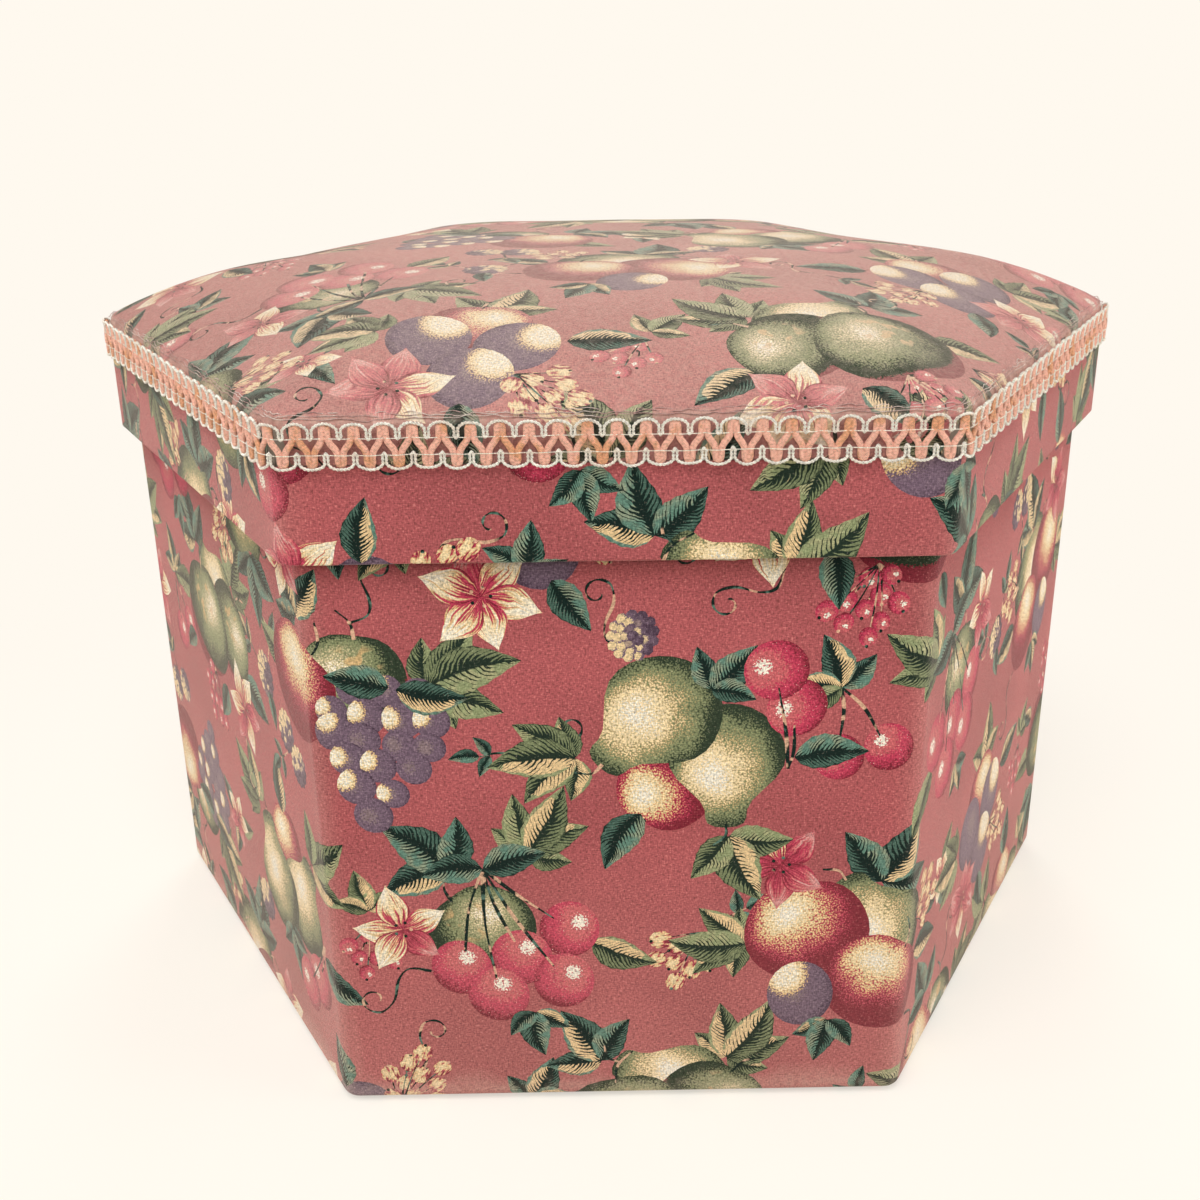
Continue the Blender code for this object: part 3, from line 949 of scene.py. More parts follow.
    def blossom(self, x, y, size, facing=90, petals=5):
        for number in range(petals):
            angle = facing + 360 * number / petals + self.around(-7, 7)
            length = size * self.around(0.88, 1.08)
            bow = self.around(-0.25, 0.25)
            outline = long_outline(PETAL, bow, 12)
            self.shape("petal", x, y, angle, length, length * 0.31, outline, PETAL, bow)
        for number in range(5):
            forward, _ = heading(facing + 72 * number + 30)
            self.berry("stem", *((x, y) + forward * size * 0.16), 0.55, 0, 7, 1)

    def berries(self, ink, x, y, facing, size, count):
        """A loose cluster on one branching stalk."""
        forward, left = heading(facing)
        stalk = np.array([x, y]) - forward * size * 2.6
        for number in range(count):
            out = 0.6 + 1.05 * math.sqrt(number)
            swing = number * 2.4
            spoke = forward * math.cos(swing) + left * math.sin(swing)
            place = np.array([x, y]) + spoke * size * out * 0.82
            place += forward * size * 0.9
            self.line([stalk, (stalk + place) / 2 + left * 0.5, place], 0.5)
            away = math.degrees(math.atan2(*(place - stalk)[::-1]))
            self.berry(ink, *place, size * self.around(0.86, 1.06), away)
            self.berry("stem", *(place + heading(away)[0] * size * 0.86), size * 0.17, 0, 6, 1)

    def sprig(self, x, y, facing, length, ink="teal_leaf"):
        """A thin stem with a leaf at its tip and a pair below it."""
        forward, _ = heading(facing)
        base = np.array([x, y])
        tip = base + forward * length * 0.55
        self.line([base, base + forward * length * 0.3 + np.array([0.4, 0.4]), tip], 0.7)
        self.leaf(*tip, facing + self.around(-14, 14), length * 0.55, 0.5, ink)
        for side in (-1, 1):
            self.leaf(*(base + forward * length * 0.38), facing + side * 58, length * 0.46, 0.5, ink)


def apple_bouquet(pen):
    pen.lobed(-18, 24, 122, 26)
    pen.spray(20, 24, 58, 24)
    pen.leaf(-26, -4, 196, 23, 0.5)
    pen.leaf(28, 2, -8, 24, 0.5, "olive_leaf")
    pen.tendril(-14, -28, -128, 18)
    pen.pear(-1, 15, 14.5, 28)
    pen.apple(-13, 6, 18, 118)
    pen.apple(13, -1, 21.5, 80)
    pen.blossom(-22, -18, 16.5, 60, 6)
    pen.berries("cherry", 10, -27, -84, 3.3, 11)
    pen.leaf(-4, -19, -62, 18, 0.55)
    pen.leaf(30, -16, -40, 15, 0.55)


def pear_bouquet(pen):
    pen.lobed(-26, 16, 150, 26)
    pen.spray(24, 22, 42, 25, "olive_leaf")
    pen.leaf(30, -8, -28, 22, 0.5)
    pen.tendril(-26, -20, 222, 18)
    pen.apple(1, 15, 14.5, 96, "peach")
    pen.pear(14, 2, 14.8, 66)
    pen.pear(-11, -3, 15.6, 112)
    pen.spray(0, -18, -70, 18)
    for place in ((24, -22), (14, -30)):
        pen.cherry(*place, 9.0, (30, -4))
    pen.bramble(-26, -24, 6.6)
    pen.leaf(-2, 25, 96, 22, 0.52)


def grape_bouquet(pen):
    pen.lobed(22, 22, 38, 28)
    pen.spray(-20, 26, 142, 24)
    pen.leaf(-26, 4, 186, 22, 0.5, "olive_leaf")
    pen.tendril(-4, 32, 84, 18)
    pen.apple(2, 16, 16, 104)
    pen.apple(-17, 5, 18.5, 64, "peach")
    pen.grapes(12, 17, -78, (3, 4, 4, 3, 2, 1), 5.3)
    pen.leaf(12, 18, -170, 19, 0.55)
    pen.leaf(14, 18, 14, 21, 0.5)
    pen.bramble(-22, -21, 6.2)
    pen.bramble(-11, -25, 5.8)
    pen.sprig(-20, -28, 236, 18)


def peach_bouquet(pen):
    pen.spray(4, 26, 78, 26)
    pen.lobed(-28, -4, 192, 24)
    pen.leaf(28, 2, 4, 23, 0.5)
    pen.tendril(28, -18, -48, 20)
    pen.pear(8, 12, 15, 140)
    pen.apple(-12, 5, 19, 110, "peach")
    pen.apple(14, -7, 17.5, 70, "peach")
    pen.berry("plum", -7, -17, 11.5, 110, 24, 0.86)
    pen.blossom(-26, 24, 15.5, 60, 5)
    pen.spray(4, -24, -88, 17, "teal_leaf", 3, 50)
    pen.berries("berry", 30, 18, 30, 3.3, 8)


def plum_bouquet(pen):
    pen.spray(-4, 24, 104, 25, "olive_leaf")
    pen.leaf(-26, 8, 172, 24, 0.5)
    pen.lobed(26, 8, 14, 25)
    pen.tendril(-22, -20, 214, 18)
    pen.apple(-1, 15, 15.5, 84, "peach")
    pen.berry("plum", -13, 5, 13.0, 110, 24, 0.88)
    pen.berry("plum", 11, 6, 13.6, 80, 24, 0.86)
    pen.berry("plum", -3, -11, 13.2, 96, 24, 0.88)
    pen.blossom(17, -18, 17, 100, 6)
    pen.berries("berry", -22, -14, 216, 3.4, 10)
    pen.leaf(-2, -22, -100, 19, 0.52)


def cherry_bouquet(pen):
    pen.lobed(-14, 26, 130, 25)
    pen.spray(10, 26, 52, 26)
    pen.leaf(-24, -8, 214, 22, 0.5, "olive_leaf")
    pen.tendril(24, -6, -18, 20)
    pen.apple(6, 4, 16.5, 64)
    for place in ((-19, -2), (15, -7), (-3, -8), (7, -19), (-13, -19)):
        pen.cherry(*place, 9.6, (0, 24))
    pen.leaf(0, 24, 178, 20, 0.55)
    pen.leaf(0, 24, 6, 19, 0.55)
    pen.blossom(28, 10, 15, 20, 5)
    pen.spray(-2, -28, -86, 16, "teal_leaf", 3, 52)


def cherry_filler(pen):
    pen.spray(0, 12, 90, 17)
    for place in ((-7, -8), (7, -10)):
        pen.cherry(*place, 7.4, (0, 12))
    pen.leaf(0, 12, 200, 14, 0.5, "olive_leaf")


def bramble_filler(pen):
    pen.sprig(-5, 4, 132, 20)
    pen.sprig(6, 4, 46, 20)
    pen.bramble(0, 0, 6.6)
    pen.leaf(0, -5, -94, 13, 0.5)


def currant_filler(pen):
    pen.spray(-3, 8, 124, 15, "olive_leaf")
    pen.berries("cherry", 2, -3, -62, 3.0, 8)


def berry_filler(pen):
    pen.sprig(-8, 7, 148, 19)
    pen.berries("berry", 2, -1, -48, 3.3, 8)


def blossom_filler(pen):
    pen.leaf(-2, 0, 154, 17, 0.5)
    pen.leaf(2, 0, 28, 17, 0.5, "olive_leaf")
    pen.leaf(0, -2, -92, 16, 0.5)
    pen.blossom(0, 0, 11, 80, 5)


def tendril_filler(pen):
    pen.tendril(0, 0, 120, 15)
    pen.sprig(2, -2, -40, 17)


BOUQUETS = [apple_bouquet, grape_bouquet, pear_bouquet, cherry_bouquet, peach_bouquet, plum_bouquet]
FILLERS = [bramble_filler, currant_filler, tendril_filler, berry_filler, cherry_filler, blossom_filler]


def print_over(width, height, seed, shift=0.0):
    """Covers a rectangle from its lower left corner with bouquets on a brick lattice, and fillers between."""
    layout = sizes().layout
    dice = random.Random(seed)
    cloth = PrintedCloth()
    columns = math.ceil(width / layout.across) + 1
    rows = math.ceil(height / layout.down) + 1
    places = []
    for row in range(-1, rows + 1):
        for column in range(-1, columns + 1):
            x = (column + 0.5 * (row % 2)) * layout.across + shift
            y = row * layout.down
            places.append((row, column, x, y))

    def stray(x, y):
        return x + dice.uniform(-1, 1) * layout.jitter, y + dice.uniform(-1, 1) * layout.jitter

    for row, column, x, y in places:
        draw = FILLERS[(column * 2 + row * 5) % len(FILLERS)]
        spot = stray(x + layout.across / 2, y)
        draw(Pen(cloth, spot, dice.uniform(-0.6, 0.6), dice.random() < 0.5, dice))
    for row, column, x, y in places:
        draw = BOUQUETS[(column + row * 4) % len(BOUQUETS)]
        spot = stray(x, y)
        turn = dice.uniform(-0.45, 0.45) + (math.pi if (row + column * 3) % 5 == 0 else 0)
        draw(Pen(cloth, spot, turn, (row + column) % 2 == 0, dice))
    return cloth


# Printed cloth as a mesh: the motifs cut into it, then bent round the box


SAME_POINT = 2e-6


class CutCloth:
    """Flat triangles of a cloth with the motif that each belongs to, or -1 for the ground."""

    def __init__(self, cloth, border, paths, dots):
        points = [Vector(place) for place in border]
        edges = []
        faces = [list(range(len(border)))]
        for path in paths:
            start = len(points)
            points += [Vector(place) for place in path]
            edges += [(start + step, start + step + 1) for step in range(len(path) - 1)]
        points += [Vector(place) for place in dots]
        low, high = np.min(border, axis=0), np.max(border, axis=0)
        known = [-1]
        for number, outline in enumerate(cloth.outlines):
            if (outline.max(0) < low).any() or (outline.min(0) > high).any():
                continue
            start = len(points)
            turned = np.roll(outline, -1, axis=0)
            area = (outline[:, 0] * turned[:, 1] - outline[:, 1] * turned[:, 0]).sum()
            points += [Vector(place) for place in (outline if area > 0 else outline[::-1])]
            faces.append(list(range(start, len(points))))
            known.append(number)
        cut = geometry.delaunay_2d_cdt(points, edges, faces, 1, SAME_POINT)
        places, _, faces, merged, _, sources = cut
        kept = [(face, max(source)) for face, source in zip(faces, sources) if source and 0 in source]
        used = sorted({index for face, _ in kept for index in face})
        renamed = {old: new for new, old in enumerate(used)}
        became = {given: index for index, all_given in enumerate(merged) for given in all_given}
        self.cloth = cloth
        self.places = np.array([tuple(places[index]) for index in used])
        self.faces = [[renamed[index] for index in face] for face, _ in kept]
        self.border = [renamed[became[given]] for given in range(len(border))]
        self.motifs = np.array(known)[[owner for _, owner in kept]]

    def border_loop(self):
        """The ring of points along the cloth's edge, in the faces' own direction."""
        pairs = [pair for face in self.faces for pair in zip(face, face[1:] + face[:1])]
        sides = dict.fromkeys(pairs)
        after = {start: stop for start, stop in sides if (stop, start) not in sides}
        first, here = after.popitem()
        loop = [first]
        while here != first:
            loop.append(here)
            here = after.pop(here)
        if after:
            raise RuntimeError("the cloth has more than one edge")
        return loop


LEAST_BREADTH = 0.05


def motif_places(cloth, places, owners):
    """Each face corner's place on its motif, and the motif's tone."""
    on_motif = owners >= 0
    own = owners[on_motif]
    gaps = places[on_motif] - np.array(cloth.origins)[own]
    local = np.einsum("nij,nj->ni", np.array(cloth.frames)[own], gaps)
    rules = np.array(cloth.rules)[own]
    bows = np.array(cloth.bows)[own]
    for rule, breadth in BREADTHS.items():
        picked = rules == rule
        u = local[picked, 0]
        local[picked, 1] = (local[picked, 1] - spine_bow(bows[picked], u)) / (breadth(u) + LEAST_BREADTH)
    along_across, tones = np.zeros((2, len(owners), 2))
    along_across[on_motif] = local
    tones[on_motif] = np.array(cloth.tones)[own]
    return along_across, tones


def add_print(mesh, cut, behind, wear):
    """The inks, the maps and the wear that the cotton materials read. What follows the front is reverse,
    and behind holds the flat places of its points."""
    places = np.vstack((cut.places, *behind))
    front = len(cut.motifs)
    inks = np.array(cut.cloth.inks + [INK_NUMBERS["ground"]])[cut.motifs]
    numbers = np.full(len(mesh.polygons), len(INKS), np.int32)
    numbers[:front] = inks
    mesh.polygons.foreach_set("material_index", numbers)
    for material in cotton_materials():
        mesh.materials.append(material)
    lengths = np.zeros(len(mesh.polygons), np.int64)
    mesh.polygons.foreach_get("loop_total", lengths)
    owners = np.full(len(mesh.polygons), -1)
    owners[:front] = cut.motifs
    on_cloth = places[corner_points(mesh)]
    along_across, tones = motif_places(cut.cloth, on_cloth, np.repeat(owners, lengths))
    for name, values in {"motif": along_across, "tone": tones, "cloth": on_cloth}.items():
        add_map(mesh, name, values)
    everywhere = np.zeros(len(mesh.vertices), np.float32)
    everywhere[: len(wear)] = wear
    mesh.attributes.new("wear", "FLOAT", "POINT").data.foreach_set("value", everywhere)


def cloth_mesh(name, cut, rim, reverse, points, wear, normals):
    """A sheet with two faces: the print in front and its plain reverse behind, closed along its edges."""
    count = len(cut.places)
    behind = [count + index for index in reverse.border]
    faces = list(cut.faces)
    faces += [[count + index for index in reversed(face)] for face in reverse.faces]
    for number in range(len(rim)):
        after = (number + 1) % len(rim)
        faces.append([rim[after], rim[number], behind[number], behind[after]])
    mesh = bpy.data.meshes.new(name)
    mesh.from_pydata(points.tolist(), [], faces)
    add_print(mesh, cut, [reverse.places], wear)
    mesh.shade_smooth()
    mesh.normals_split_custom_set_from_vertices(normals.tolist())
    return mesh


# The path of a cloth round the hexagon. A plan is an apothem and a corner radius.


def side_and_bend(plan):
    """Lengths of one straight side and of one bend."""
    apothem, radius = plan
    return 2 * (apothem - radius) * math.tan(HALF_TURN), radius * TURN


def hexagon_length(plan):
    return SIDES * sum(side_and_bend(plan))


def rounded_outline(apothem, radius, steps=6, first=0):
    """The plan outline of a rounded hexagon, anticlockwise from its first corner."""
    distance = (apothem - radius) / math.cos(HALF_TURN)
    places = []
    for corner in range(first, first + SIDES):
        facing = corner * TURN
        for step in range(steps + 1):
            angle = facing + HALF_TURN * (2 * step / steps - 1)
            across = math.cos(facing) * distance + math.cos(angle) * radius
            places.append((across, math.sin(facing) * distance + math.sin(angle) * radius))
    return places


LEAST_RADIUS = 0.4 * MM


def round_hexagon(distance, plan, inward):
    """Plan places and outward directions at distances round a rounded hexagon, moved square inwards."""
    apothem, radius = plan
    straight, bend = side_and_bend(plan)
    side, along = np.divmod(distance + straight / 2, straight + bend)
    facing = side * TURN - QUARTER
    inner_radius = np.maximum(radius - inward, LEAST_RADIUS)
    face = apothem - inward - inner_radius
    half = face * math.tan(HALF_TURN)
    turned = np.clip((along - straight) / bend, 0, 1) * TURN
    outward = np.stack((np.cos(facing), np.sin(facing)), -1)
    onward = np.stack((-outward[..., 1], outward[..., 0]), -1)
    share = np.clip(along / straight, 0, 1) * 2 - 1
    direction = outward * np.cos(turned)[..., None] + onward * np.sin(turned)[..., None]
    centre = outward * face[..., None] + onward * (share * half)[..., None]
    return centre + direction * inner_radius[..., None], direction


def corner_lines(plan, start, stop, steps=6):
    """Distances at which a cloth from start to stop begins, passes and ends its bends round the corners."""
    straight, bend = side_and_bend(plan)
    lines = []
    for corner in range(2 * SIDES):
        first = straight / 2 + corner * (straight + bend)
        lines += [first + bend * step / steps for step in range(steps + 1)]
    return [line for line in lines if start < line < stop]


def corner_rub(distance, plan):
    """1 at the bends round the corners, and 0 away from them."""
    straight, bend = side_and_bend(plan)
    along = np.mod(distance + straight / 2, straight + bend)
    gap = np.abs(along - straight - bend / 2)
    gap = np.minimum(gap, straight + bend - gap)
    return np.clip(1 - gap / (bend * 0.9), 0, 1)


def near(value, place, reach):
    """1 at a place, falling to 0 at this distance from it."""
    return np.clip(1 - np.abs(value - place) / reach, 0, 1)


def arc_points(apothem, height, radius, start, stop, steps=6):
    """Points (apothem, height) of an arc in the upright plane."""
    angles = start + (stop - start) * np.arange(steps + 1) / steps
    return [(apothem + radius * math.cos(a), height + radius * math.sin(a)) for a in angles]


class Profile:
    """The upright section that a cloth follows, by distance along it."""

    def __init__(self, points):
        self.points = np.array(points)
        runs = np.diff(self.points, axis=0)
        lengths = np.linalg.norm(runs, axis=1)
        self.marks = np.concatenate(([0], np.cumsum(lengths)))
        self.length = self.marks[-1]
        units = runs / lengths[:, None]
        bends = np.vstack((units[:1], units[:-1] + units[1:], units[-1:]))
        bends /= np.linalg.norm(bends, axis=1)[:, None]
        self.facings = np.column_stack((bends[:, 1], -bends[:, 0]))

    def at(self, distance):
        """Apothem, height and the way out of the cloth, at these distances."""
        place = [np.interp(distance, self.marks, self.points[:, axis]) for axis in (0, 1)]
        facing = [np.interp(distance, self.marks, self.facings[:, axis]) for axis in (0, 1)]
        size = np.hypot(*facing)
        return *place, facing[0] / size, facing[1] / size


WAVES = 9


def ripples(places, scale, seed):
    """A smooth uneven height between -1 and 1 over the cloth."""
    dice = np.random.default_rng(seed)
    total = np.zeros(len(places))
    for _ in range(WAVES):
        angle = dice.uniform(0, math.tau)
        wave = dice.uniform(0.5, 1.6) / scale
        along = places @ (math.cos(angle), math.sin(angle))
        total += np.sin(along * wave * math.tau + dice.uniform(0, math.tau))
    return total / WAVES * 1.8


def wrapped_points(places, profile, plan, lift, start):
    """Places and directions of a strip wrapped round the hexagon, lifted off its path by this much."""
    face, height, out, up = profile.at(places[:, 1])
    on_plan, direction = round_hexagon(places[:, 0] + start, plan, plan[0] - face - lift * out)
    return np.column_stack((on_plan, height + lift * up)), np.column_stack((direction * out[:, None], up))


SEAM_RISE = 2.5 * MM
SEAM_TUCK = 1 * MM
SEAM_GAP = 0.05 * MM
SEAM_SINK = 0.15 * MM
CORNER_WEAR = 0.14
RIPPLE_LENGTH = 60 * MM
FRONT_SPACING = 7 * MM
REVERSE_SPACING = 14 * MM


def wrapped_cloth(name, profile, plan, before_back, variant, fold_wear, ripple_fade, lines=()):
    """Prints, cuts and wraps one strip of cotton that begins this far before the middle of the back. Its
    end is lapped over its beginning."""
    cotton = sizes().cloth
    seed = sizes().layout.seed + variant
    lap = cotton.seam_lap
    length = hexagon_length(plan) + lap
    start = hexagon_length(plan) / 2 - before_back
    printed = print_over(length, profile.length, seed)
    border = [(0, 0), (length, 0), (length, profile.length), (0, profile.length)]
    paths = [[(0, mark), (length, mark)] for mark in (*profile.marks[1:-1], *lines)]
    upright = [line - start for line in corner_lines(plan, start, length + start)]
    upright += [lap - SEAM_TUCK, lap, length - lap - SEAM_RISE, length - lap]
    paths += [[(line, 0), (line, profile.length)] for line in upright]

    def spread(spacing):
        across = np.arange(spacing / 2, length, spacing)
        return [(x, y) for x in across for y in np.arange(spacing / 2, profile.length, spacing)]

    def wrapped(places, depth):
        over = np.clip((places[:, 0] - (length - lap - SEAM_RISE)) / SEAM_RISE, 0, 1)
        tucked = np.clip((lap - places[:, 0]) / SEAM_TUCK, 0, 1)
        uneven = ripples(places, RIPPLE_LENGTH, seed) * cotton.ripple
        fade = ripple_fade(places[:, 1])
        lift = (over * (cotton.thickness + SEAM_GAP) + np.minimum(uneven, 0)) * fade
        lift -= tucked * SEAM_SINK * (1 - fade) + depth
        return wrapped_points(places, profile, plan, lift, start)

    cut = CutCloth(printed, border, paths, spread(FRONT_SPACING))
    rim = cut.border_loop()
    reverse = CutCloth(PrintedCloth(), cut.places[rim], paths, spread(REVERSE_SPACING))
    front, normals = wrapped(cut.places, 0)
    back, outward = wrapped(reverse.places, cotton.thickness)
    corner_wear = corner_rub(cut.places[:, 0] + start, plan) * CORNER_WEAR
    wear = np.clip(fold_wear(cut.places[:, 1]) + corner_wear, -1, 1)
    mesh = cloth_mesh(name, cut, rim, reverse, np.vstack((front, back)), wear, np.vstack((normals, -outward)))
    return place_piece(name, mesh), (length, profile.length)


def body_profile():
    """From the cloth's edge under the base, up the wall, over its top and down behind the lining."""
    c = sizes().cloth
    fold = c.fold_radius
    foot = c.bottom_radius
    inner = flat_inner("wall_board_1")
    top = BODY_TOP - fold
    points = [(BODY_APOTHEM - c.base_turn, BODY_BOTTOM)]
    points += arc_points(BODY_APOTHEM - foot, BODY_BOTTOM + foot, foot, -QUARTER, 0)
    points += arc_points(BODY_APOTHEM - fold, top, fold, 0, QUARTER)
    points += arc_points(inner, top, fold, QUARTER, math.pi)
    points.append((inner - fold, LEDGE - c.inside_lap))
    return Profile(points)


def make_body_cloth():
    """The cotton that wraps the body, as one strip with its ends lapped at the back."""
    c = sizes().cloth
    profile = body_profile()
    low = c.base_turn + c.bottom_radius
    high = profile.length - (BODY_TOP - LEDGE + c.inside_lap)
    rim = low + RIM_BOTTOM - BODY_BOTTOM - c.bottom_radius
    # Cut lines for the painted shadow band just under the rim's lower edge.
    lines = [rim - drop * MM for drop in (1.2, 2.6, 4.0, 6.5)]

    def wear(height):
        # Painted shadow: the cotton darkens in a band just under the rim's lower edge, where the rim's shade
        # falls.
        painted_rim_shadow = np.interp(height, [*reversed(lines), rim + 5 * MM], [0, -0.14, -0.5, -0.7, 0])
        # Painted light: the cotton pales towards the foot, where light bounced off the floor brightens it.
        painted_floor_glow = 0.15 * np.clip(1 - (height - low) / (90 * MM), 0, 1)
        return painted_floor_glow + 0.3 * near(height, low, 4 * MM) + 0.3 * near(height, high, 3 * MM) + painted_rim_shadow

    def fade(height):
        return np.clip((height - low) / (6 * MM), 0, 1)

    plan = BODY_APOTHEM, BODY_RADIUS
    piece, flat = wrapped_cloth("body_cloth", profile, plan, 55 * MM, 0, wear, fade, lines)
    dress(piece, "box", "printed_cotton", "body_cover")


def rim_profile():
    """From the cloth's edge inside the rim, down, round its lower edge and up its outside."""
    c = sizes().cloth
    fold = c.fold_radius
    inner = flat_inner("lid_rim_board_1")
    bottom = RIM_BOTTOM + fold
    points = [(inner - fold, RIM_BOTTOM + c.rim_turn)]
    points += arc_points(inner, bottom, fold, math.pi, math.pi + QUARTER)
    points += arc_points(LID_APOTHEM - fold, bottom, fold, -QUARTER, 0)
    points.append((LID_APOTHEM, RIM_COVER_TOP))
    return Profile(points)


def make_rim_cloth():
    """The cotton round the lid's rim, turned up inside it."""
    c = sizes().cloth
    low = c.rim_turn + c.fold_radius

    def wear(height):
        # Painted shade: the cotton darkens at the rim's lower fold, on its inner side under the rim.
        return -0.3 * near(height, low - 1.5 * MM, 2.5 * MM)

    def fade(height):
        return np.clip((height - low) / (2 * MM) + 1, 0, 1)

    plan = LID_APOTHEM, LID_RADIUS
    piece, flat = wrapped_cloth("rim_cloth", rim_profile(), plan, 30 * MM, 4, wear, fade)
    dress(piece, "lid", "printed_cotton", "lid_rim_cover")


# Padded top


def crown_radius(apothem):
    """Corner radius of the lid's outline at an apothem: its own at the rim, rounder towards the middle."""
    inward = np.maximum(1 - apothem / LID_APOTHEM, 0)
    rim_share = LID_RADIUS / LID_APOTHEM
    inside = apothem * (rim_share + (1 - rim_share) * inward**1.5)
    return np.where(apothem > LID_APOTHEM, LID_RADIUS + apothem - LID_APOTHEM, inside)


def crown_outline(apothem, steps=6):
    return rounded_outline(apothem, float(crown_radius(np.array(apothem))), steps)


def hexagon_gap(places, apothem, radius):
    """How far each place lies outside a rounded hexagon, less than 0 inside it."""
    angle = np.arctan2(places[:, 1], places[:, 0])
    reach = np.hypot(places[:, 0], places[:, 1])
    turned = np.mod(angle + QUARTER + HALF_TURN, TURN) - HALF_TURN
    out, side = reach * np.cos(turned), np.abs(reach * np.sin(turned))
    face = apothem - radius
    beyond = np.maximum(side - face * math.tan(HALF_TURN), 0)
    over = out - face
    rounded = np.where(beyond > 0, np.hypot(beyond, np.maximum(over, 0)), over)
    return np.where(over < 0, over, rounded) - radius


HALVINGS = 26


def crown_level(places):
    """The apothem of the crown's outline that passes through each place. Outlines grow outwards."""
    low = np.full(len(places), 1e-5)
    high = np.full(len(places), LID_APOTHEM * 1.4)
    for _ in range(HALVINGS):
        middle = (low + high) / 2
        outside = hexagon_gap(places, middle, crown_radius(middle)) > 0
        low = np.where(outside, middle, low)
        high = np.where(outside, high, middle)
    return (low + high) / 2


def crown_profile():
    """From the middle of the crown outwards, over its edge and down the rim."""
    pad = sizes().pad
    rise = CROWN_TOP - RIM_TOP - pad.edge_radius
    slope = math.atan(pad.crown_power * rise / LID_APOTHEM)
    edge = arc_points(LID_APOTHEM - pad.edge_radius, RIM_TOP, pad.edge_radius, QUARTER - slope, 0, 8)
    reach, height = edge[0]
    points = [(0.0, CROWN_TOP)]
    for share in np.linspace(0, 1, 40)[1:-1]:
        points.append((reach * share, height + (CROWN_TOP - height) * (1 - share**pad.crown_power)))
    return Profile([*points, *edge, (LID_APOTHEM, SKIRT_BOTTOM)])


FILLING = {
    "quality": 6,
    "mass": 0.25,
    "tension_stiffness": 12,
    "compression_stiffness": 12,
    "bending_stiffness": 0.6,
    "use_pressure": True,
    "uniform_pressure_force": 4,
    "vertex_group_mass": "held",
}
FILLING_FRAMES = 20
FILLING_GRAIN = 5.5 * MM
FILLING_FOOT = 6 * MM
HELD_RIM = 9 * MM
HELD_FOOT = 1 * MM
RING_COUNT = 24


def filling_mesh(profile):
    """The crown's shape as a closed body with its foot just inside the rim."""
    shape = bmesh.new()
    rings = []
    for share in np.linspace(0.02, 0.94, 16):
        face, height, _, _ = profile.at(share * profile.length)
        rings.append([shape.verts.new((x, y, float(height))) for x, y in crown_outline(float(face), 8)])
    rings.append([shape.verts.new((v.co.x, v.co.y, RIM_TOP - FILLING_FOOT)) for v in rings[-1]])
    for low, high in zip(rings, rings[1:]):
        for index in range(len(low)):
            after = (index + 1) % len(low)
            shape.faces.new((low[index], high[index], high[after], low[after]))
    shape.faces.new(rings[0])
    shape.faces.new(list(reversed(rings[-1])))
    face_outwards(shape)
    return finished_mesh(shape, bpy.data.meshes.new("pad_filling"))


def ray_tree(mesh):
    return BVHTree.FromPolygons([v.co for v in mesh.vertices], [p.vertices for p in mesh.polygons])


def swollen_crown(profile):
    """The filled pad before and after a cloth simulation swells it, as trees to cast rays at."""
    pad = place_piece("pad_filling", filling_mesh(profile))
    remesh = pad.modifiers.new("Voxels", "REMESH")
    remesh.mode = "VOXEL"
    remesh.voxel_size = FILLING_GRAIN
    fine = evaluated_mesh(pad)
    pad.modifiers.clear()
    pad.data = fine
    held = pad.vertex_groups.new(name="held")
    reach = np.array([v.co for v in fine.vertices])
    for number, (edge, height) in enumerate(zip(crown_level(reach[:, :2]), reach[:, 2])):
        if edge > LID_APOTHEM - HELD_RIM or height < RIM_TOP + HELD_FOOT:
            held.add([number], 1.0, "REPLACE")
    rest = ray_tree(fine)
    cloth = pad.modifiers.new("Filling", "CLOTH")
    for name, value in FILLING.items():
        setattr(cloth.settings, name, value)
    cloth.settings.effector_weights.gravity = 0
    cloth.point_cache.frame_start = 1
    cloth.point_cache.frame_end = FILLING_FRAMES
    for number in range(1, FILLING_FRAMES + 1):
        bpy.context.scene.frame_set(number)
    full = ray_tree(evaluated_mesh(pad))
    bpy.context.scene.frame_set(1)
    bpy.data.objects.remove(pad)
    return rest, full


def ring_average(level, values):
    """The mean of these values round the outline that each place lies on."""
    edges = np.linspace(0, level.max() + 1e-9, RING_COUNT)
    ring = np.digitize(level, edges)
    sums = np.bincount(ring, values, len(edges) + 1)
    counts = np.maximum(np.bincount(ring, minlength=len(edges) + 1), 1)
    return np.interp(level, (edges[:-1] + edges[1:]) / 2, (sums / counts)[1 : len(edges)])


def drop_onto(tree, places):
    """Heights at which rays from above meet a surface, or NaN."""
    found = np.full(len(places), np.nan)
    for number, (x, y) in enumerate(places):
        hit = tree.ray_cast(Vector((x, y, 2 * CROWN_TOP)), Vector((0, 0, -1)))[0]
        if hit is not None:
            found[number] = hit.z
    return found


CROWN_SHIFT = 10 * MM
FOLD_BAND = 14 * MM
CROWN_SPACING = 3.2 * MM


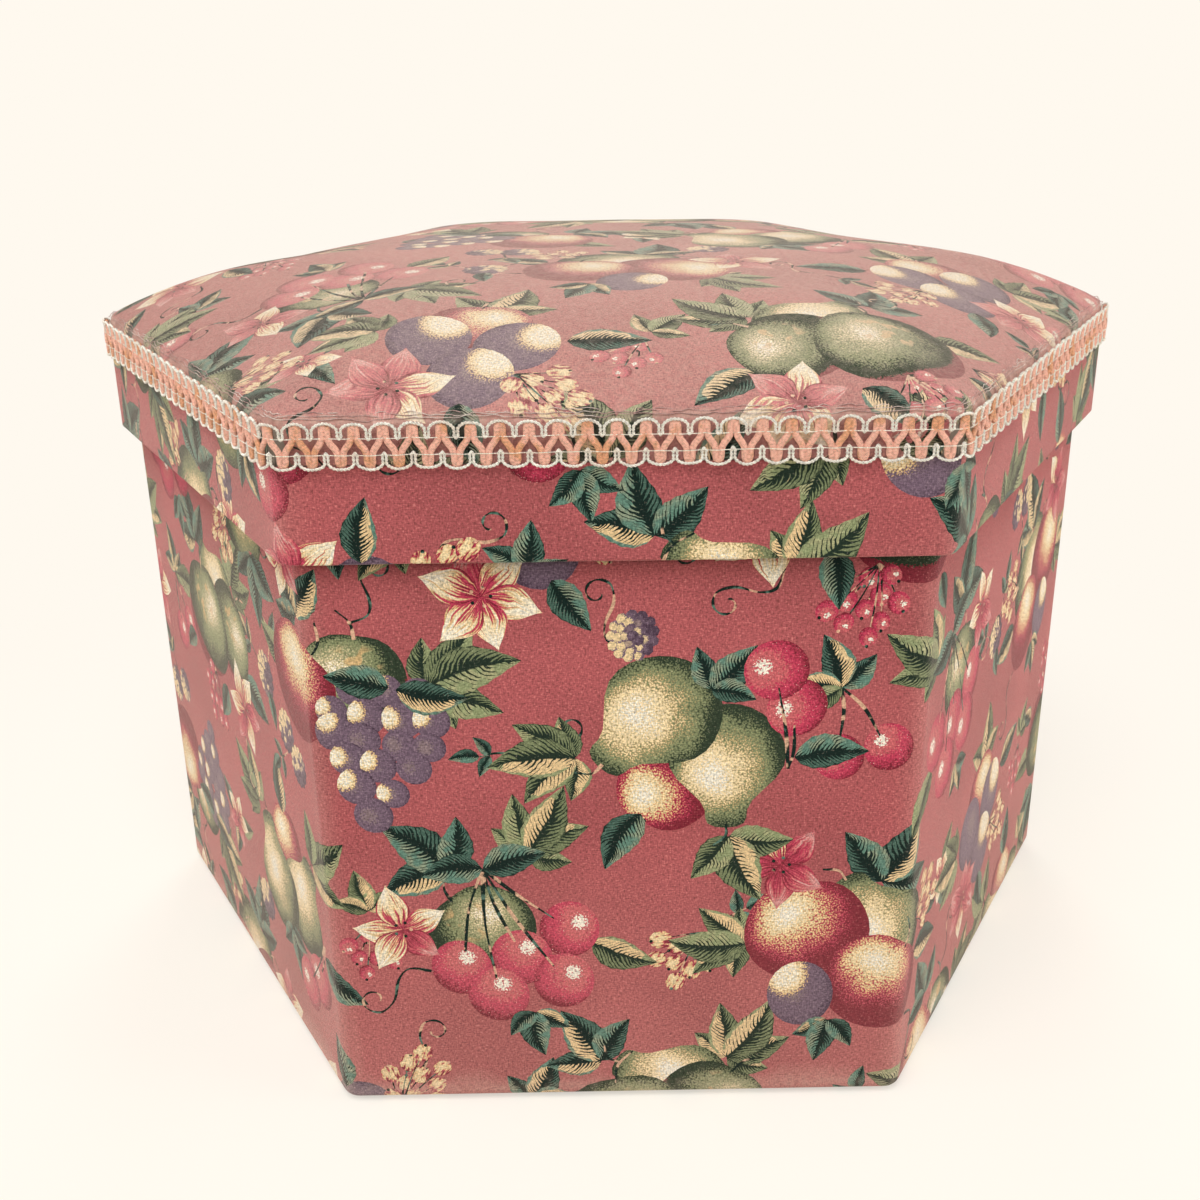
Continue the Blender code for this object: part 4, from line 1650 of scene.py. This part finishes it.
def cut_crown(profile):
    """The crown's hexagon of cotton, printed and cut, with the rings of its folds in it."""
    extent = profile.length / math.cos(HALF_TURN)
    printed = print_over(2 * extent, 2 * extent, sizes().layout.seed + 9, CROWN_SHIFT)
    printed.outlines = [outline - extent for outline in printed.outlines]
    printed.origins = [origin - extent for origin in printed.origins]
    rings = [mark for mark in profile.marks if mark > LID_APOTHEM - FOLD_BAND]
    paths = [[*ring, ring[0]] for ring in map(crown_outline, rings[:-1])]
    steps = np.arange(-extent, extent, CROWN_SPACING)
    half = CROWN_SPACING / 2
    dots = np.array([(x + half * (row % 2), y) for row, y in enumerate(steps) for x in steps])
    dots = dots[crown_level(dots) < rings[0] - half]
    return CutCloth(printed, crown_outline(profile.length), paths, dots)


PAD_RIPPLE = 0.35 * MM
PAD_SEAT = 0.3 * MM
FLAT_RIM = 6 * MM
RISING_BAND = 30 * MM
RIDGE_REACH = 2.6 * MM


def make_padded_top():
    """The foam crown in its printed cotton, drawn down over the rim."""
    pad = sizes().pad
    profile = crown_profile()
    cut = cut_crown(profile)
    level = np.minimum(crown_level(cut.places), profile.length)
    face, height, out, up = profile.at(level)
    plan = cut.places * (face / level)[:, None]
    places = np.column_stack((plan, height))
    inner = np.clip((LID_APOTHEM - FLAT_RIM - level) / RISING_BAND, 0, 1)
    rest, full = swollen_crown(profile)
    lift = np.nan_to_num(drop_onto(full, plan) - drop_onto(rest, plan))
    lift *= pad.puff / max(lift.max(), 1e-6)
    places[:, 2] += np.clip(lift - ring_average(level, lift), -pad.puff, pad.puff) * inner
    places[:, 2] += ripples(cut.places, 85 * MM, 5) * PAD_RIPPLE * inner
    beside = near(level, profile.marks[-5], RIDGE_REACH)
    ridge = pad.lip * beside * (0.65 + 0.35 * ripples(cut.places, 9 * MM, 8))
    directions = plan / np.maximum(np.linalg.norm(plan, axis=1), 1e-6)[:, None]
    places += np.column_stack((directions * (out * ridge)[:, None], up * ridge))
    wear = np.clip(0.25 * beside + 0.46 - 0.08 * (level / LID_APOTHEM) ** 2, 0, 1)
    piece = place_piece("padded_top", pad_mesh("padded_top", cut, places, wear))
    dress(piece, "lid", "printed_cotton", "lid_foam_pad", "lid_top_cover")


def pad_mesh(name, cut, places, wear):
    """The crown closed below: its cloth's edge, the inside of the skirt, and the foam's flat underside."""
    loop = cut.border_loop()
    count = len(places)
    size = len(loop)
    shrink = 1 - sizes().cloth.thickness / LID_APOTHEM
    inside = places[loop] * (shrink, shrink, 1)
    seat = RIM_TOP + PAD_SEAT
    under = inside.copy()
    under[:, 2] = seat
    faces = list(cut.faces)
    for number in range(size):
        after = (number + 1) % size
        faces.append([loop[after], loop[number], count + number, count + after])
        faces.append([count + after, count + number, count + size + number, count + size + after])
        faces.append([count + size + after, count + size + number, count + 2 * size])
    mesh = bpy.data.meshes.new(name)
    mesh.from_pydata(np.vstack((places, inside, under, [[0, 0, seat]])).tolist(), [], faces)
    add_print(mesh, cut, [cut.places[loop], cut.places[loop], [[0, 0]]], wear)
    mesh.shade_smooth()
    mesh.set_sharp_from_angle(angle=math.radians(50))
    return mesh


# Gimp braid

STRAND_SOCKETS = ("Thickness", "Middle", "Slack", "Slack Scale", "Swell", "Flatness", "Twist")
FRAY_SHARES = (0.55, 0.8, 1.05)
SERPENTINE_STEPS, SCALLOP_STEPS, BINDER_STEPS, FRAY_STEPS = 36, 56, 4, 16
THREAD_FACETS = 8
NUDGE = 1e-5


def guide_curve(name):
    """A closed line round the lid, as a curve to follow."""
    places = [(0.0, -GIMP_APOTHEM), *rounded_outline(*GIMP_PLAN, 8, -1)]
    curve = bpy.data.curves.new(name, "CURVE")
    curve.dimensions = "3D"
    spline = curve.splines.new("POLY")
    spline.points.add(len(places) - 1)
    for point, (x, y) in zip(spline.points, places):
        point.co = (x, y, 0, 1)
    spline.use_cyclic_u = True
    return place_piece(name, curve)


def follow_tree(name, route, steps):
    """A node tree that runs a strand round the guide: at each step of a repeat it takes the route's place.

    route lists (share of the repeat, along, up, out): where along the band in repeats, how high in
    metres, and how far out of it."""
    sockets = {"Geometry": GEOMETRY, "Repeats": "NodeSocketInt", "Material": "NodeSocketMaterial"}
    sockets |= dict.fromkeys(STRAND_SOCKETS, FLOAT)
    w, given = new_group(name, "GeometryNodeTree", sockets, {"Geometry": GEOMETRY})
    line = w.value("GeometryNodeMeshLine", {"Count": given["Repeats"] * float(steps)}, mode="OFFSET")
    index = w.value("GeometryNodeInputIndex")
    turn = index / float(steps)
    repeat = w.math("FLOOR", turn)
    phase = w.math("FRACT", turn + NUDGE)
    shares, *columns = zip(*route)
    readings = []
    for column in columns:
        low = min(column)
        span = max(max(column) - low, 1e-9)
        reading = w.add("ShaderNodeFloatCurve", {"Factor": 1.0, "Value": phase})
        drawn = reading.mapping.curves[0]
        while len(drawn.points) < len(route):
            drawn.points.new(0.5, 0.5)
        for point, share, value in zip(drawn.points, shares, column):
            point.location = (share, (value - low) / span)
            point.handle_type = "AUTO_CLAMPED"
        reading.mapping.update()
        readings.append(Value(w, reading.outputs[0]) * span + low)
    along, up, out = readings
    share = w.math("FRACT", (repeat + along) / given["Repeats"] + 1.0)
    on_guide = {"Curves": given["Geometry"], "Factor": share}
    sample = w.values(w.add("GeometryNodeSampleCurve", on_guide, mode="FACTOR", use_all_curves=True))
    place = sample["Position"]
    outward = w.vector_math("CROSS_PRODUCT", sample["Tangent"], (0, 0, 1))
    slack = (w.noise(place, given["Slack Scale"], 1) - 0.5) * given["Slack"]
    astray = (w.noise(place, given["Slack Scale"] * 1.7, 1) - 0.5) * (given["Slack"] * 0.5)
    pushed = w.value("ShaderNodeVectorMath", {0: outward, "Scale": out + astray}, operation="SCALE")
    crest = (out - min(columns[2])) / max(max(columns[2]) - min(columns[2]), 1e-9)
    own = w.noise(w.join(repeat, 0.0), 0.83, 1) - 0.5
    height = up + (slack + crest * crest * (own * given["Swell"])) + given["Middle"]
    moved = w.vector_math("ADD", w.vector_math("ADD", place, pushed), w.join(0.0, 0.0, height))
    strand = w.value("GeometryNodeSetPosition", {"Geometry": line, "Position": moved})
    strand = w.value("GeometryNodeMeshToCurve", {"Mesh": strand})
    strand = w.value("GeometryNodeSetSplineCyclic", {"Geometry": strand, "Cyclic": True})
    strand = w.value("GeometryNodeSetCurveTilt", {"Curve": strand, "Tilt": index * given["Twist"]})
    ring = w.add("GeometryNodeCurvePrimitiveCircle", {"Resolution": THREAD_FACETS}, mode="RADIUS")
    w.feed(ring.inputs["Radius"], given["Thickness"] * 0.5)
    squash = w.join(given["Flatness"], 1.0, 1.0)
    oval = w.vector_math("MULTIPLY", w.value("GeometryNodeInputPosition"), squash)
    ring = w.value("GeometryNodeSetPosition", {"Geometry": Value(w, ring.outputs[0]), "Position": oval})
    tube = w.value("GeometryNodeCurveToMesh", {"Curve": strand, "Profile Curve": ring})
    real = w.value("GeometryNodeRealizeInstances", {"Geometry": tube})
    painted = w.value("GeometryNodeSetMaterial", {"Geometry": real, "Material": given["Material"]})
    return w.close(Geometry=painted)


def gimp_pitch():
    return hexagon_length(GIMP_PLAN) / (SIDES * sizes().gimp.repeats)


def there_and_back(half):
    """A route through half a repeat and its mirror image."""
    return half + [(1 - along, up, out) for along, up, out in reversed(half[:-1])]


def even_route(points):
    """A route through (along, up, out) with shares of its length, cut into even steps."""
    real = np.array(points) * (gimp_pitch(), 1, 1)
    lengths = np.concatenate(([0], np.cumsum(np.linalg.norm(np.diff(real, axis=0), axis=1))))
    return [(share, *point) for share, point in zip(lengths / lengths[-1], points)]


def serpentine_route():
    """A pair of bars at the top, diagonals, a pair at the bottom half a repeat on, and back."""
    g = sizes().gimp
    turn_height = HALF_GIMP - g.strand * 0.5 - 0.5 * MM
    bar_end = turn_height * 0.36
    beside = g.strand * 0.39 / gimp_pitch()
    rise = [
        (0.0, turn_height, 0.0),
        (beside * 0.72, turn_height - 0.2 * MM, 0.0),
        (beside, turn_height - 0.9 * MM, 0.0),
        (beside, bar_end + 0.6 * MM, 0.0),
        (beside * 1.2, bar_end - 0.1 * MM, 0.1 * MM),
    ]
    fall = [(0.5 - along, -up, out) for along, up, out in reversed(rise)]
    return even_route(there_and_back(rise + fall))


def scallop_route(sign):
    """An arch over each pair of bars, flatter below, and a narrow dip between it and the next."""
    g = sizes().gimp
    half_notch = g.notch_width / 2 / gimp_pitch()
    crest = HALF_GIMP - g.cord / 2
    dip = crest - g.notch_depth
    shoulder, shift = (1.0 * MM, 0.5) if sign > 0 else (0.7 * MM, 0.0)
    half = [
        (0.0, dip, 0.1 * MM),
        (half_notch * 0.7, dip + 0.25 * MM, 0.1 * MM),
        (half_notch, dip + 0.8 * MM, 0.1 * MM),
        (half_notch * 0.86, crest - 2.3 * shoulder, 0.2 * MM),
        (half_notch * 1.02, crest - 1.7 * shoulder, 0.25 * MM),
        (0.115, crest - 1.15 * shoulder, 0.3 * MM),
        (0.2, crest - 0.62 * shoulder, 0.36 * MM),
        (0.33, crest - 0.18 * shoulder, 0.45 * MM),
        (0.5, crest, 0.5 * MM),
    ]
    return even_route([(along + shift, sign * up, out) for along, up, out in there_and_back(half)])


def level_route(height, ends, middle):
    """A thread along one height, this far out at the ends of a repeat and in its middle."""
    return even_route([(0.0, height, ends), (0.5, height, middle), (1.0, height, ends)])


def thread_material(name, colour, aged, ply, soiling, sheen):
    material, w = new_material(name)
    given = {"Color": (*colour, 1), "Aged": (*aged, 1), "Band": w.map_place("band"), "Ply": ply}
    thread = w.use(twisted_thread, given | {"Soiling": soiling})
    height = thread["Height"]
    finish_shader(w, thread["Color"], w.math("MULTIPLY_ADD", height, -0.12, 0.88), height, 0.22 * MM, sheen)
    return material


def follow_guide(name, route, steps, thickness, material, **others):
    """Runs one strand round the lid with Geometry Nodes and hands it back as a plain mesh piece.

    others names further inputs of its node tree."""
    guide = guide_curve(f"{name}_guide")
    tree = follow_tree(f"{name}_path", route, steps)
    modifier = guide.modifiers.new("Strand", "NODES")
    modifier.node_group = tree
    g = sizes().gimp
    given = {"Repeats": SIDES * g.repeats, "Thickness": thickness, "Middle": GIMP_MIDDLE, "Slack": g.slack}
    given |= {"Slack Scale": 80.0 + 9 * len(name), "Swell": 0.0, "Flatness": 1.0, "Twist": 0.0}
    given |= {"Material": material} | {key.replace("_", " ").title(): value for key, value in others.items()}
    for item in tree.interface.items_tree:
        if item.in_out == "INPUT" and item.name in given:
            modifier[item.identifier] = given[item.name]
    mesh = evaluated_mesh(guide)
    mesh.name = name
    bpy.data.objects.remove(guide)
    if len(mesh.polygons) == 0:
        raise RuntimeError(f"{name} came out empty")
    shape = bmesh.new()
    shape.from_mesh(mesh)
    face_outwards(shape)
    finished_mesh(shape, mesh)
    add_band_map(mesh)
    mesh.shade_smooth()
    return place_piece(name, mesh)


def add_band_map(mesh):
    """A map in metres: the distance round the lid and the height."""
    points = np.array([v.co for v in mesh.vertices])
    side, turned = np.divmod(np.arctan2(points[:, 1], points[:, 0]) + QUARTER + HALF_TURN, TURN)
    along = np.hypot(points[:, 0], points[:, 1]) * np.sin(turned - HALF_TURN)
    distance = side * hexagon_length(GIMP_PLAN) / SIDES + along
    add_map(mesh, "band", np.column_stack((distance, points[:, 2]))[corner_points(mesh)])


def make_gimp():
    """The gimp: serpentine cords, two scalloped edge cords and the threads that bind them."""
    g = sizes().gimp
    colours = sizes().colours
    salmon = thread_material("gimp_salmon", colours.salmon, colours.tan, 0.55 * MM, 0.8, 0.2)
    aged = mixed(colours.edging, colours.tan, 0.3)
    cream = thread_material("gimp_cream", colours.edging, aged, 0.62 * MM, 0.5, 0.15)
    route = serpentine_route()
    strands = [follow_guide("gimp_serpentine", route, SERPENTINE_STEPS, g.strand, salmon, flatness=0.8)]
    oval = {"swell": g.swell, "flatness": 0.62, "twist": math.pi / 4}
    for name, sign in (("gimp_upper_cord", 1), ("gimp_lower_cord", -1)):
        strands.append(follow_guide(name, scallop_route(sign), SCALLOP_STEPS, g.cord, cream, **oval))
    reach = HALF_GIMP - g.notch_depth - 0.1 * MM
    binding = level_route(0.0, 0.45 * MM, 0.75 * MM)
    for name, sign in (("gimp_upper_binder", 1), ("gimp_lower_binder", -1)):
        middle = GIMP_MIDDLE + sign * reach
        strands.append(follow_guide(name, binding, BINDER_STEPS, g.binder, cream, middle=middle))
    rosy = mixed(sizes().dyes.ground, colours.edging, 0.3)
    frayed = thread_material("frayed_cotton", rosy, mixed(rosy, colours.edging, 0.6), 0.5 * MM, 1.0, 0.2)
    profile = crown_profile()
    for number, share in enumerate(FRAY_SHARES):
        face, height, _, _ = profile.at(profile.marks[-2] - share * sizes().pad.edge_radius)
        out = float(face) - GIMP_APOTHEM
        route = level_route(float(height) - GIMP_MIDDLE - 0.1 * MM, out, out)
        loose = {"slack": 2.8 * MM, "slack_scale": 150.0 + 41 * number}
        name = f"frayed_thread_{number + 1}"
        strands.append(follow_guide(name, route, FRAY_STEPS, g.fray, frayed, **loose))
    for strand in strands:
        dress(strand, "lid", "gimp_cord")
    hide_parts("gimp_braid")


# Pull tabs

RIBBON_THICKNESS = 0.35 * MM
RIBBON_COLUMNS = 9
LOOP_STEPS = 8


def make_pull_tabs():
    """Two folded satin ribbons on the tray's inner walls."""
    colour = sizes().colours.ribbon
    material, w = new_material("satin")
    ribs = w.stretched_noise(w.object_place(), (60, 60, 4200), "3D")
    tint = w.mix(ribs, shaded(colour, 0.85), shaded(colour, 1.1))
    finish_shader(w, tint, w.math("MULTIPLY_ADD", ribs, 0.2, 0.32), ribs, 0.04 * MM, 0.1)
    for number, wall in ((1, "tray_wall_1"), (2, "tray_wall_4")):
        node = f"tray_pull_tab_{number}"
        piece, flat = folded_ribbon(f"pull_ribbon_{number}", *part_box(node), material)
        dress(piece, "tray", "satin_ribbon", node)


def folded_ribbon(name, low, high, material):
    """A ribbon doubled over at its top, its two layers close together and its cut edges eased."""
    width = high.x - low.x
    middle = (low.y + high.y) / 2
    gap = (high.y - low.y - RIBBON_THICKNESS) / 2
    rise = high.z - gap - 0.2 * MM
    path = [(-gap, low.z + (rise - low.z) * share) for share in (0.0, 0.25, 0.5, 0.75)]
    for step in range(LOOP_STEPS + 1):
        angle = math.pi - math.pi * step / LOOP_STEPS
        path.append((math.cos(angle) * gap, rise + math.sin(angle) * gap))
    path += [(gap, low.z + (rise - low.z) * share) for share in (0.75, 0.5, 0.25, 0.0)]
    shape = bmesh.new()
    rings = []
    for y, z in path:
        row = []
        for share in np.linspace(-1, 1, RIBBON_COLUMNS):
            belly = 0.1 * MM * (1 - share * share) * (1 if y > 0 else -1)
            row.append(shape.verts.new((share * width / 2, middle + y + belly, z)))
        rings.append(row)
    for first, second in zip(rings, rings[1:]):
        for column in range(RIBBON_COLUMNS - 1):
            shape.faces.new((first[column], first[column + 1], second[column + 1], second[column]))
    face_outwards(shape)
    mesh = finished_mesh(shape, bpy.data.meshes.new(name))
    mesh.materials.append(material)
    mesh.shade_smooth()
    piece = place_piece(name, mesh)
    solid = piece.modifiers.new("Thickness", "SOLIDIFY")
    solid.thickness = RIBBON_THICKNESS
    solid.offset = 0
    return piece, (width, sum(math.dist(a, b) for a, b in zip(path, path[1:])))


# Boards, cards and tray


def finish_boards():
    """The woven, pressed or pasted surface of every piece that keeps its own solid."""
    colours = sizes().colours
    board = grey_board()
    lining = plain_cotton("lining_cotton_cloth", colours.lining)
    base = plain_cotton("base_cotton", colours.base_cloth)
    rose = plain_cotton("rose_cotton", colours.tray_cloth, 0.3)
    finishes = {
        ("base_cover",): base,
        ("base_board", "wall_board", "lid_board", "lid_rim_board"): board,
        ("base_lining", "wall_lining", "lid_lining", "lid_rim_lining", "tray_floor", "tray_divider"): lining,
        ("tray_wall",): rose,
    }
    for name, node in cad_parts.items():
        for starts, material in finishes.items():
            if name.startswith(starts):
                wear_material(node, material)


def wear_material(node, material):
    if not node.material_slots:
        node.data.materials.append(material)
    for held in node.material_slots:
        held.material = material


# Stage

HEART = (0, 0, 0.12)
FLOOR_RADIUS = 6.0


def make_stage():
    """A pale floor, soft lamps and the camera."""
    s = sizes().stage
    scene = bpy.context.scene
    scene.view_settings.view_transform = "Standard"
    world = bpy.data.worlds.new("studio")
    scene.world = world
    world.use_nodes = True
    w = Wiring(world.node_tree)
    light = w.value("ShaderNodeBackground", {"Color": (1, 1, 1, 1), "Strength": s.sky})
    shown = w.value("ShaderNodeBackground", {"Color": (*s.background, 1), "Strength": 1.0})
    rays = w.values(w.add("ShaderNodeLightPath"))
    mirrored = w.math("MAXIMUM", rays["Is Glossy Ray"], rays["Is Transmission Ray"])
    seen = w.math("MAXIMUM", rays["Is Camera Ray"], mirrored)
    both = w.value("ShaderNodeMixShader", {0: seen, 1: light, 2: shown})
    w.feed(world.node_tree.nodes["World Output"].inputs["Surface"], both)
    make_floor(s.background)
    add_lamp("high_lamp", (-0.15, -0.70, 1.28), HEART, 0.9, s.key)
    add_lamp("left_lamp", (-1.15, -0.25, 0.5), HEART, 0.8, s.left)
    add_lamp("right_lamp", (1.1, -0.3, 0.28), (0, 0, 0.10), 0.8, s.right)
    add_lamp("back_lamp", (0.1, 1.35, 0.75), HEART, 0.9, s.back)
    make_camera(s)


def make_floor(background):
    """A wide floor whose shadow shows and whose colour is the background's."""
    shape = bmesh.new()
    bmesh.ops.create_circle(shape, cap_ends=True, segments=96, radius=FLOOR_RADIUS)
    mesh = finished_mesh(shape, bpy.data.meshes.new("floor"))
    floor = place_piece("floor", mesh)
    material, w = new_material("pale_floor")
    mesh.materials.append(material)
    shader = w.tree.nodes["Principled BSDF"]
    place = w.object_place()
    tint = w.mix(w.noise(place, 3.0, 2), shaded(background, 0.97), background)
    for name, value in {"Base Color": tint, "Roughness": 1.0, "Specular IOR Level": 0.0}.items():
        w.feed(shader.inputs[name], value)
    plain = w.value("ShaderNodeEmission", {"Color": (*background, 1), "Strength": 1.0})
    rays = w.values(w.add("ShaderNodeLightPath"))
    x, y, _ = w.split(place)
    reach = w.math("SQRT", x * x + y * y)
    share = rays["Is Camera Ray"] * (reach.step(0.16, 0.42) * 0.4 + 0.6)
    both = w.value("ShaderNodeMixShader", {0: share, 1: Value(w, shader.outputs[0]), 2: plain})
    w.feed(w.tree.nodes["Material Output"].inputs["Surface"], both)


def add_lamp(name, place, aim, size, energy):
    data = bpy.data.lights.new(name, "AREA")
    data.shape = "DISK"
    data.size = size
    data.energy = energy
    lamp = place_piece(name, data)
    lamp.location = place
    lamp.rotation_euler = (Vector(aim) - Vector(place)).to_track_quat("-Z", "Y").to_euler()


def make_camera(s):
    """The photograph's viewpoint."""
    data = bpy.data.cameras.new("camera")
    data.lens = s.lens
    data.sensor_width = 36
    camera = place_piece("camera", data)
    level = math.cos(s.pitch)
    forward = Vector((-math.sin(s.yaw) * level, math.cos(s.yaw) * level, -math.sin(s.pitch)))
    right = Vector((math.cos(s.yaw), math.sin(s.yaw), 0))
    tilted = math.cos(s.roll) * right + math.sin(s.roll) * right.cross(forward)
    turn = Matrix((tilted, tilted.cross(forward), -forward)).transposed()
    camera.matrix_world = Matrix.Translation(Vector(s.place)) @ turn.to_4x4()
    bpy.context.scene.camera = camera


# Add-on


def operator(label, idname, work):
    """An operator that runs one maker; its docstring is the maker's own."""

    def execute(self, context):
        work()
        return {"FINISHED"}

    return type(
        f"SEWINGBOX_OT_{idname}",
        (bpy.types.Operator,),
        {"bl_idname": f"sewing_box.{idname}", "bl_label": label, "__doc__": work.__doc__, "execute": execute},
    )


OPERATORS = [
    operator("Stage", "stage", make_stage),
    operator("Body Cloth", "body_cloth", make_body_cloth),
    operator("Rim Cloth", "rim_cloth", make_rim_cloth),
    operator("Padded Top", "padded_top", make_padded_top),
    operator("Gimp", "gimp", make_gimp),
    operator("Pull Tabs", "pull_tabs", make_pull_tabs),
    operator("Boards and Cards", "boards", finish_boards),
]


class SEWINGBOX_PT_panel(bpy.types.Panel):
    """Lists the makers of the sewing box's pieces."""

    bl_idname = "SEWINGBOX_PT_panel"
    bl_label = "Sewing Box"
    bl_space_type = "VIEW_3D"
    bl_region_type = "UI"
    bl_category = "Sewing Box"

    def draw(self, context):
        for item in OPERATORS:
            self.layout.operator(item.bl_idname)


GROUPS = [PrintColours, PieceColours, PrintSizes, ClothSizes, PadSizes, GimpSizes, StageSizes]
GROUPS.append(SewingBoxSettings)


def register():
    for item in (*GROUPS, *OPERATORS, SEWINGBOX_PT_panel):
        bpy.utils.register_class(item)
    bpy.types.Scene.sewing_box = PointerProperty(type=SewingBoxSettings)


def unregister():
    del bpy.types.Scene.sewing_box
    for item in reversed((*GROUPS, *OPERATORS, SEWINGBOX_PT_panel)):
        bpy.utils.unregister_class(item)


def main():
    register()
    for item in OPERATORS:
        made = getattr(bpy.ops.sewing_box, item.bl_idname.split(".")[1])()
        if made != {"FINISHED"}:
            raise RuntimeError(f"{item.bl_label} did not finish")


if __name__ == "__main__":
    main()
